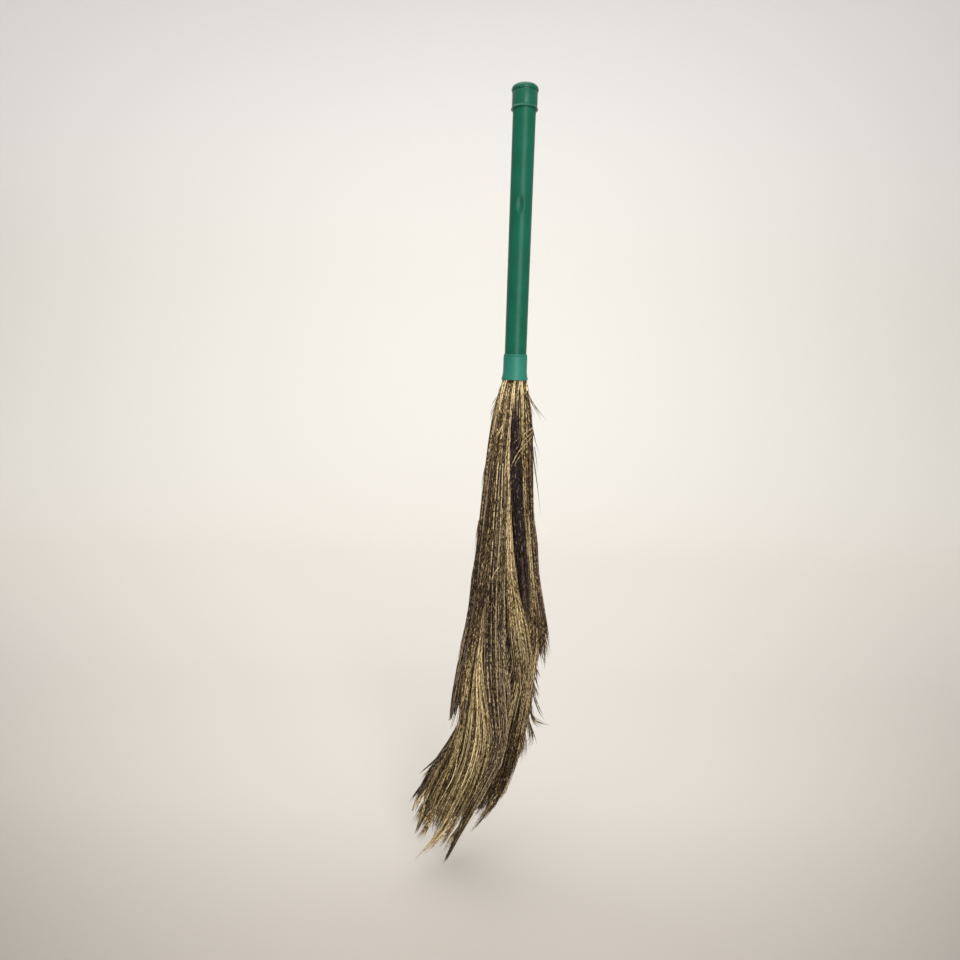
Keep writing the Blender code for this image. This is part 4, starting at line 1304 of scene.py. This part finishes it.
def graded_studio_paper(name, floor):
    """Seamless matt paper, its colour graded as painted light falloff, palest on the wall behind the
    broom.

    The floor darkens softly towards the front and to both sides: painted shade where the light falls
    off.
    """
    made, tree, place = new_material(name)
    parts = add_node(tree, "ShaderNodeSeparateXYZ", {}, {"Vector": place}).outputs
    run = computed(tree, "ADD", parts["Y"], parts["Z"])
    # Painted light falloff: the colour runs from dark at the floor's front to palest on the wall behind
    share = ranged(tree, run, (floor - PAPER_FRONT, floor + PAPER_TOP), (0.0, 1.0))
    grade = coloured(tree, share, PAINTED_FALLOFF_GRADE)
    grade.color_ramp.interpolation = "CARDINAL"
    # Painted side shade: the floor darkens to both sides, less so further back
    fade = computed(tree, "POWER", SIDE_FADE, computed(tree, "SUBTRACT", run, floor))
    aside = computed(tree, "POWER", computed(tree, "SUBTRACT", parts["X"], SIDE_START), 2.0)
    loss = computed(tree, "MULTIPLY", aside, fade)
    kept = computed(tree, "MULTIPLY_ADD", loss, -SIDE_PAINTED_SHADE, 1.0)
    surfaced(tree, {
        "Base Color": scaled(tree, grade.outputs["Color"], computed(tree, "MAXIMUM", kept, LEAST_TONE)),
        "Roughness": 0.9, "Specular IOR Level": 0.2,
    })
    return made


def aimed(location, target):
    """The rotation that points a light from its place at a target."""
    return (Vector(target) - Vector(location)).to_track_quat("-Z", "Y").to_euler()


class BROOM_OT_add_stage(bpy.types.Operator):
    """Add the paper sweep, the soft lights and the camera"""

    bl_idname = "broom.add_stage"
    bl_label = "Studio"

    def execute(self, context):
        studio = context.scene.broom_stage
        self.add_sweep(studio)
        for name, (location, target, width, height, power) in LIGHTS.items():
            self.add_light(name, location, target, width, height, getattr(studio, power))
        self.add_world(studio)
        self.add_camera(studio)
        return {"FINISHED"}

    def add_sweep(self, studio):
        """A paper floor that curves up into a wall behind the broom."""
        floor = SKIRT_LOW - studio.floor_gap
        profile = [(SWEEP_FRONT, floor), (SWEEP_BEND, floor)]
        for step in range(1, SWEEP_STEPS + 1):
            angle = math.radians(90 * step / SWEEP_STEPS)
            profile.append((SWEEP_BEND + SWEEP_RADIUS * math.sin(angle),
                            floor + SWEEP_RADIUS * (1 - math.cos(angle))))
        profile.append((SWEEP_BEND + SWEEP_RADIUS, floor + SWEEP_HEIGHT))
        verts = [(x, y, z) for y, z in profile for x in (-SWEEP_HALF_WIDTH, SWEEP_HALF_WIDTH)]
        faces = [(2 * row, 2 * row + 1, 2 * row + 3, 2 * row + 2) for row in range(len(profile) - 1)]
        mesh = bpy.data.meshes.new("paper_sweep")
        mesh.from_pydata(verts, [], faces)
        mesh.shade_smooth()
        mesh.materials.append(graded_studio_paper("graded_studio_paper", floor))
        sweep = add_piece("paper_sweep", mesh)

    def add_light(self, name, location, target, width, height, power):
        """A rectangular soft light."""
        light = bpy.data.lights.new(name, "AREA")
        light.shape = "RECTANGLE"
        light.size = width
        light.size_y = height
        light.energy = power
        lamp = bpy.data.objects.new(name, light)
        bpy.context.scene.collection.objects.link(lamp)
        lamp.location = location
        lamp.rotation_euler = aimed(location, target)

    def add_world(self, studio):
        """Even warm white light from all round."""
        world = bpy.data.worlds.new("studio")
        world.use_nodes = True
        shell = world.node_tree.nodes["Background"]
        shell.inputs["Color"].default_value = srgb("#fffcf9")
        shell.inputs["Strength"].default_value = studio.world_strength
        bpy.context.scene.world = world

    def add_camera(self, studio):
        """The camera, a little above the broom's middle and looking down on it."""
        camera = bpy.data.cameras.new("camera")
        camera.lens = studio.lens
        camera.sensor_width = 36.0
        camera.clip_start = 0.01
        item = bpy.data.objects.new("camera", camera)
        bpy.context.scene.collection.objects.link(item)
        forward = Vector(CAMERA_FORWARD).normalized()
        up = Vector(CAMERA_UP)
        right = forward.cross(up).normalized()
        up = right.cross(forward)
        turn = Matrix((right, up, -forward)).transposed()
        item.matrix_world = Matrix.Translation(CAMERA_PLACE) @ turn.to_4x4()
        bpy.context.scene.camera = item
        bpy.context.scene.view_settings.view_transform = "Standard"


class BROOM_PT_panel(bpy.types.Panel):
    """Buttons for each piece, in the sidebar of the 3D view"""

    bl_idname = "BROOM_PT_panel"
    bl_label = "Grass Broom"
    bl_space_type = "VIEW_3D"
    bl_region_type = "UI"
    bl_category = "Broom"

    def draw(self, context):
        for operator in OPERATORS:
            self.layout.operator(operator.bl_idname)
        for group in SETTINGS:
            settings = getattr(context.scene, group)
            box = self.layout.box()
            for name in settings.__annotations__:
                box.prop(settings, name)


OPERATORS = (
    BROOM_OT_add_stage,
    BROOM_OT_add_handle_tube,
    BROOM_OT_add_end_cap,
    BROOM_OT_add_end_collar,
    BROOM_OT_add_hanks,
    BROOM_OT_finish_core,
)
SETTINGS = {
    "broom_plastic": BroomPlasticSettings,
    "broom_grass": BroomGrassSettings,
    "broom_stage": BroomStageSettings,
}


def register():
    for name, group in SETTINGS.items():
        bpy.utils.register_class(group)
        setattr(bpy.types.Scene, name, bpy.props.PointerProperty(type=group))
    for item in (*OPERATORS, BROOM_PT_panel):
        bpy.utils.register_class(item)


def unregister():
    for item in (BROOM_PT_panel, *reversed(OPERATORS)):
        bpy.utils.unregister_class(item)
    for name, group in SETTINGS.items():
        delattr(bpy.types.Scene, name)
        bpy.utils.unregister_class(group)


def main():
    register()
    bpy.ops.broom.add_stage()
    bpy.ops.broom.add_handle_tube()
    bpy.ops.broom.add_end_cap()
    bpy.ops.broom.add_end_collar()
    bpy.ops.broom.add_hanks()
    bpy.ops.broom.finish_core()


if __name__ == "__main__":
    main()
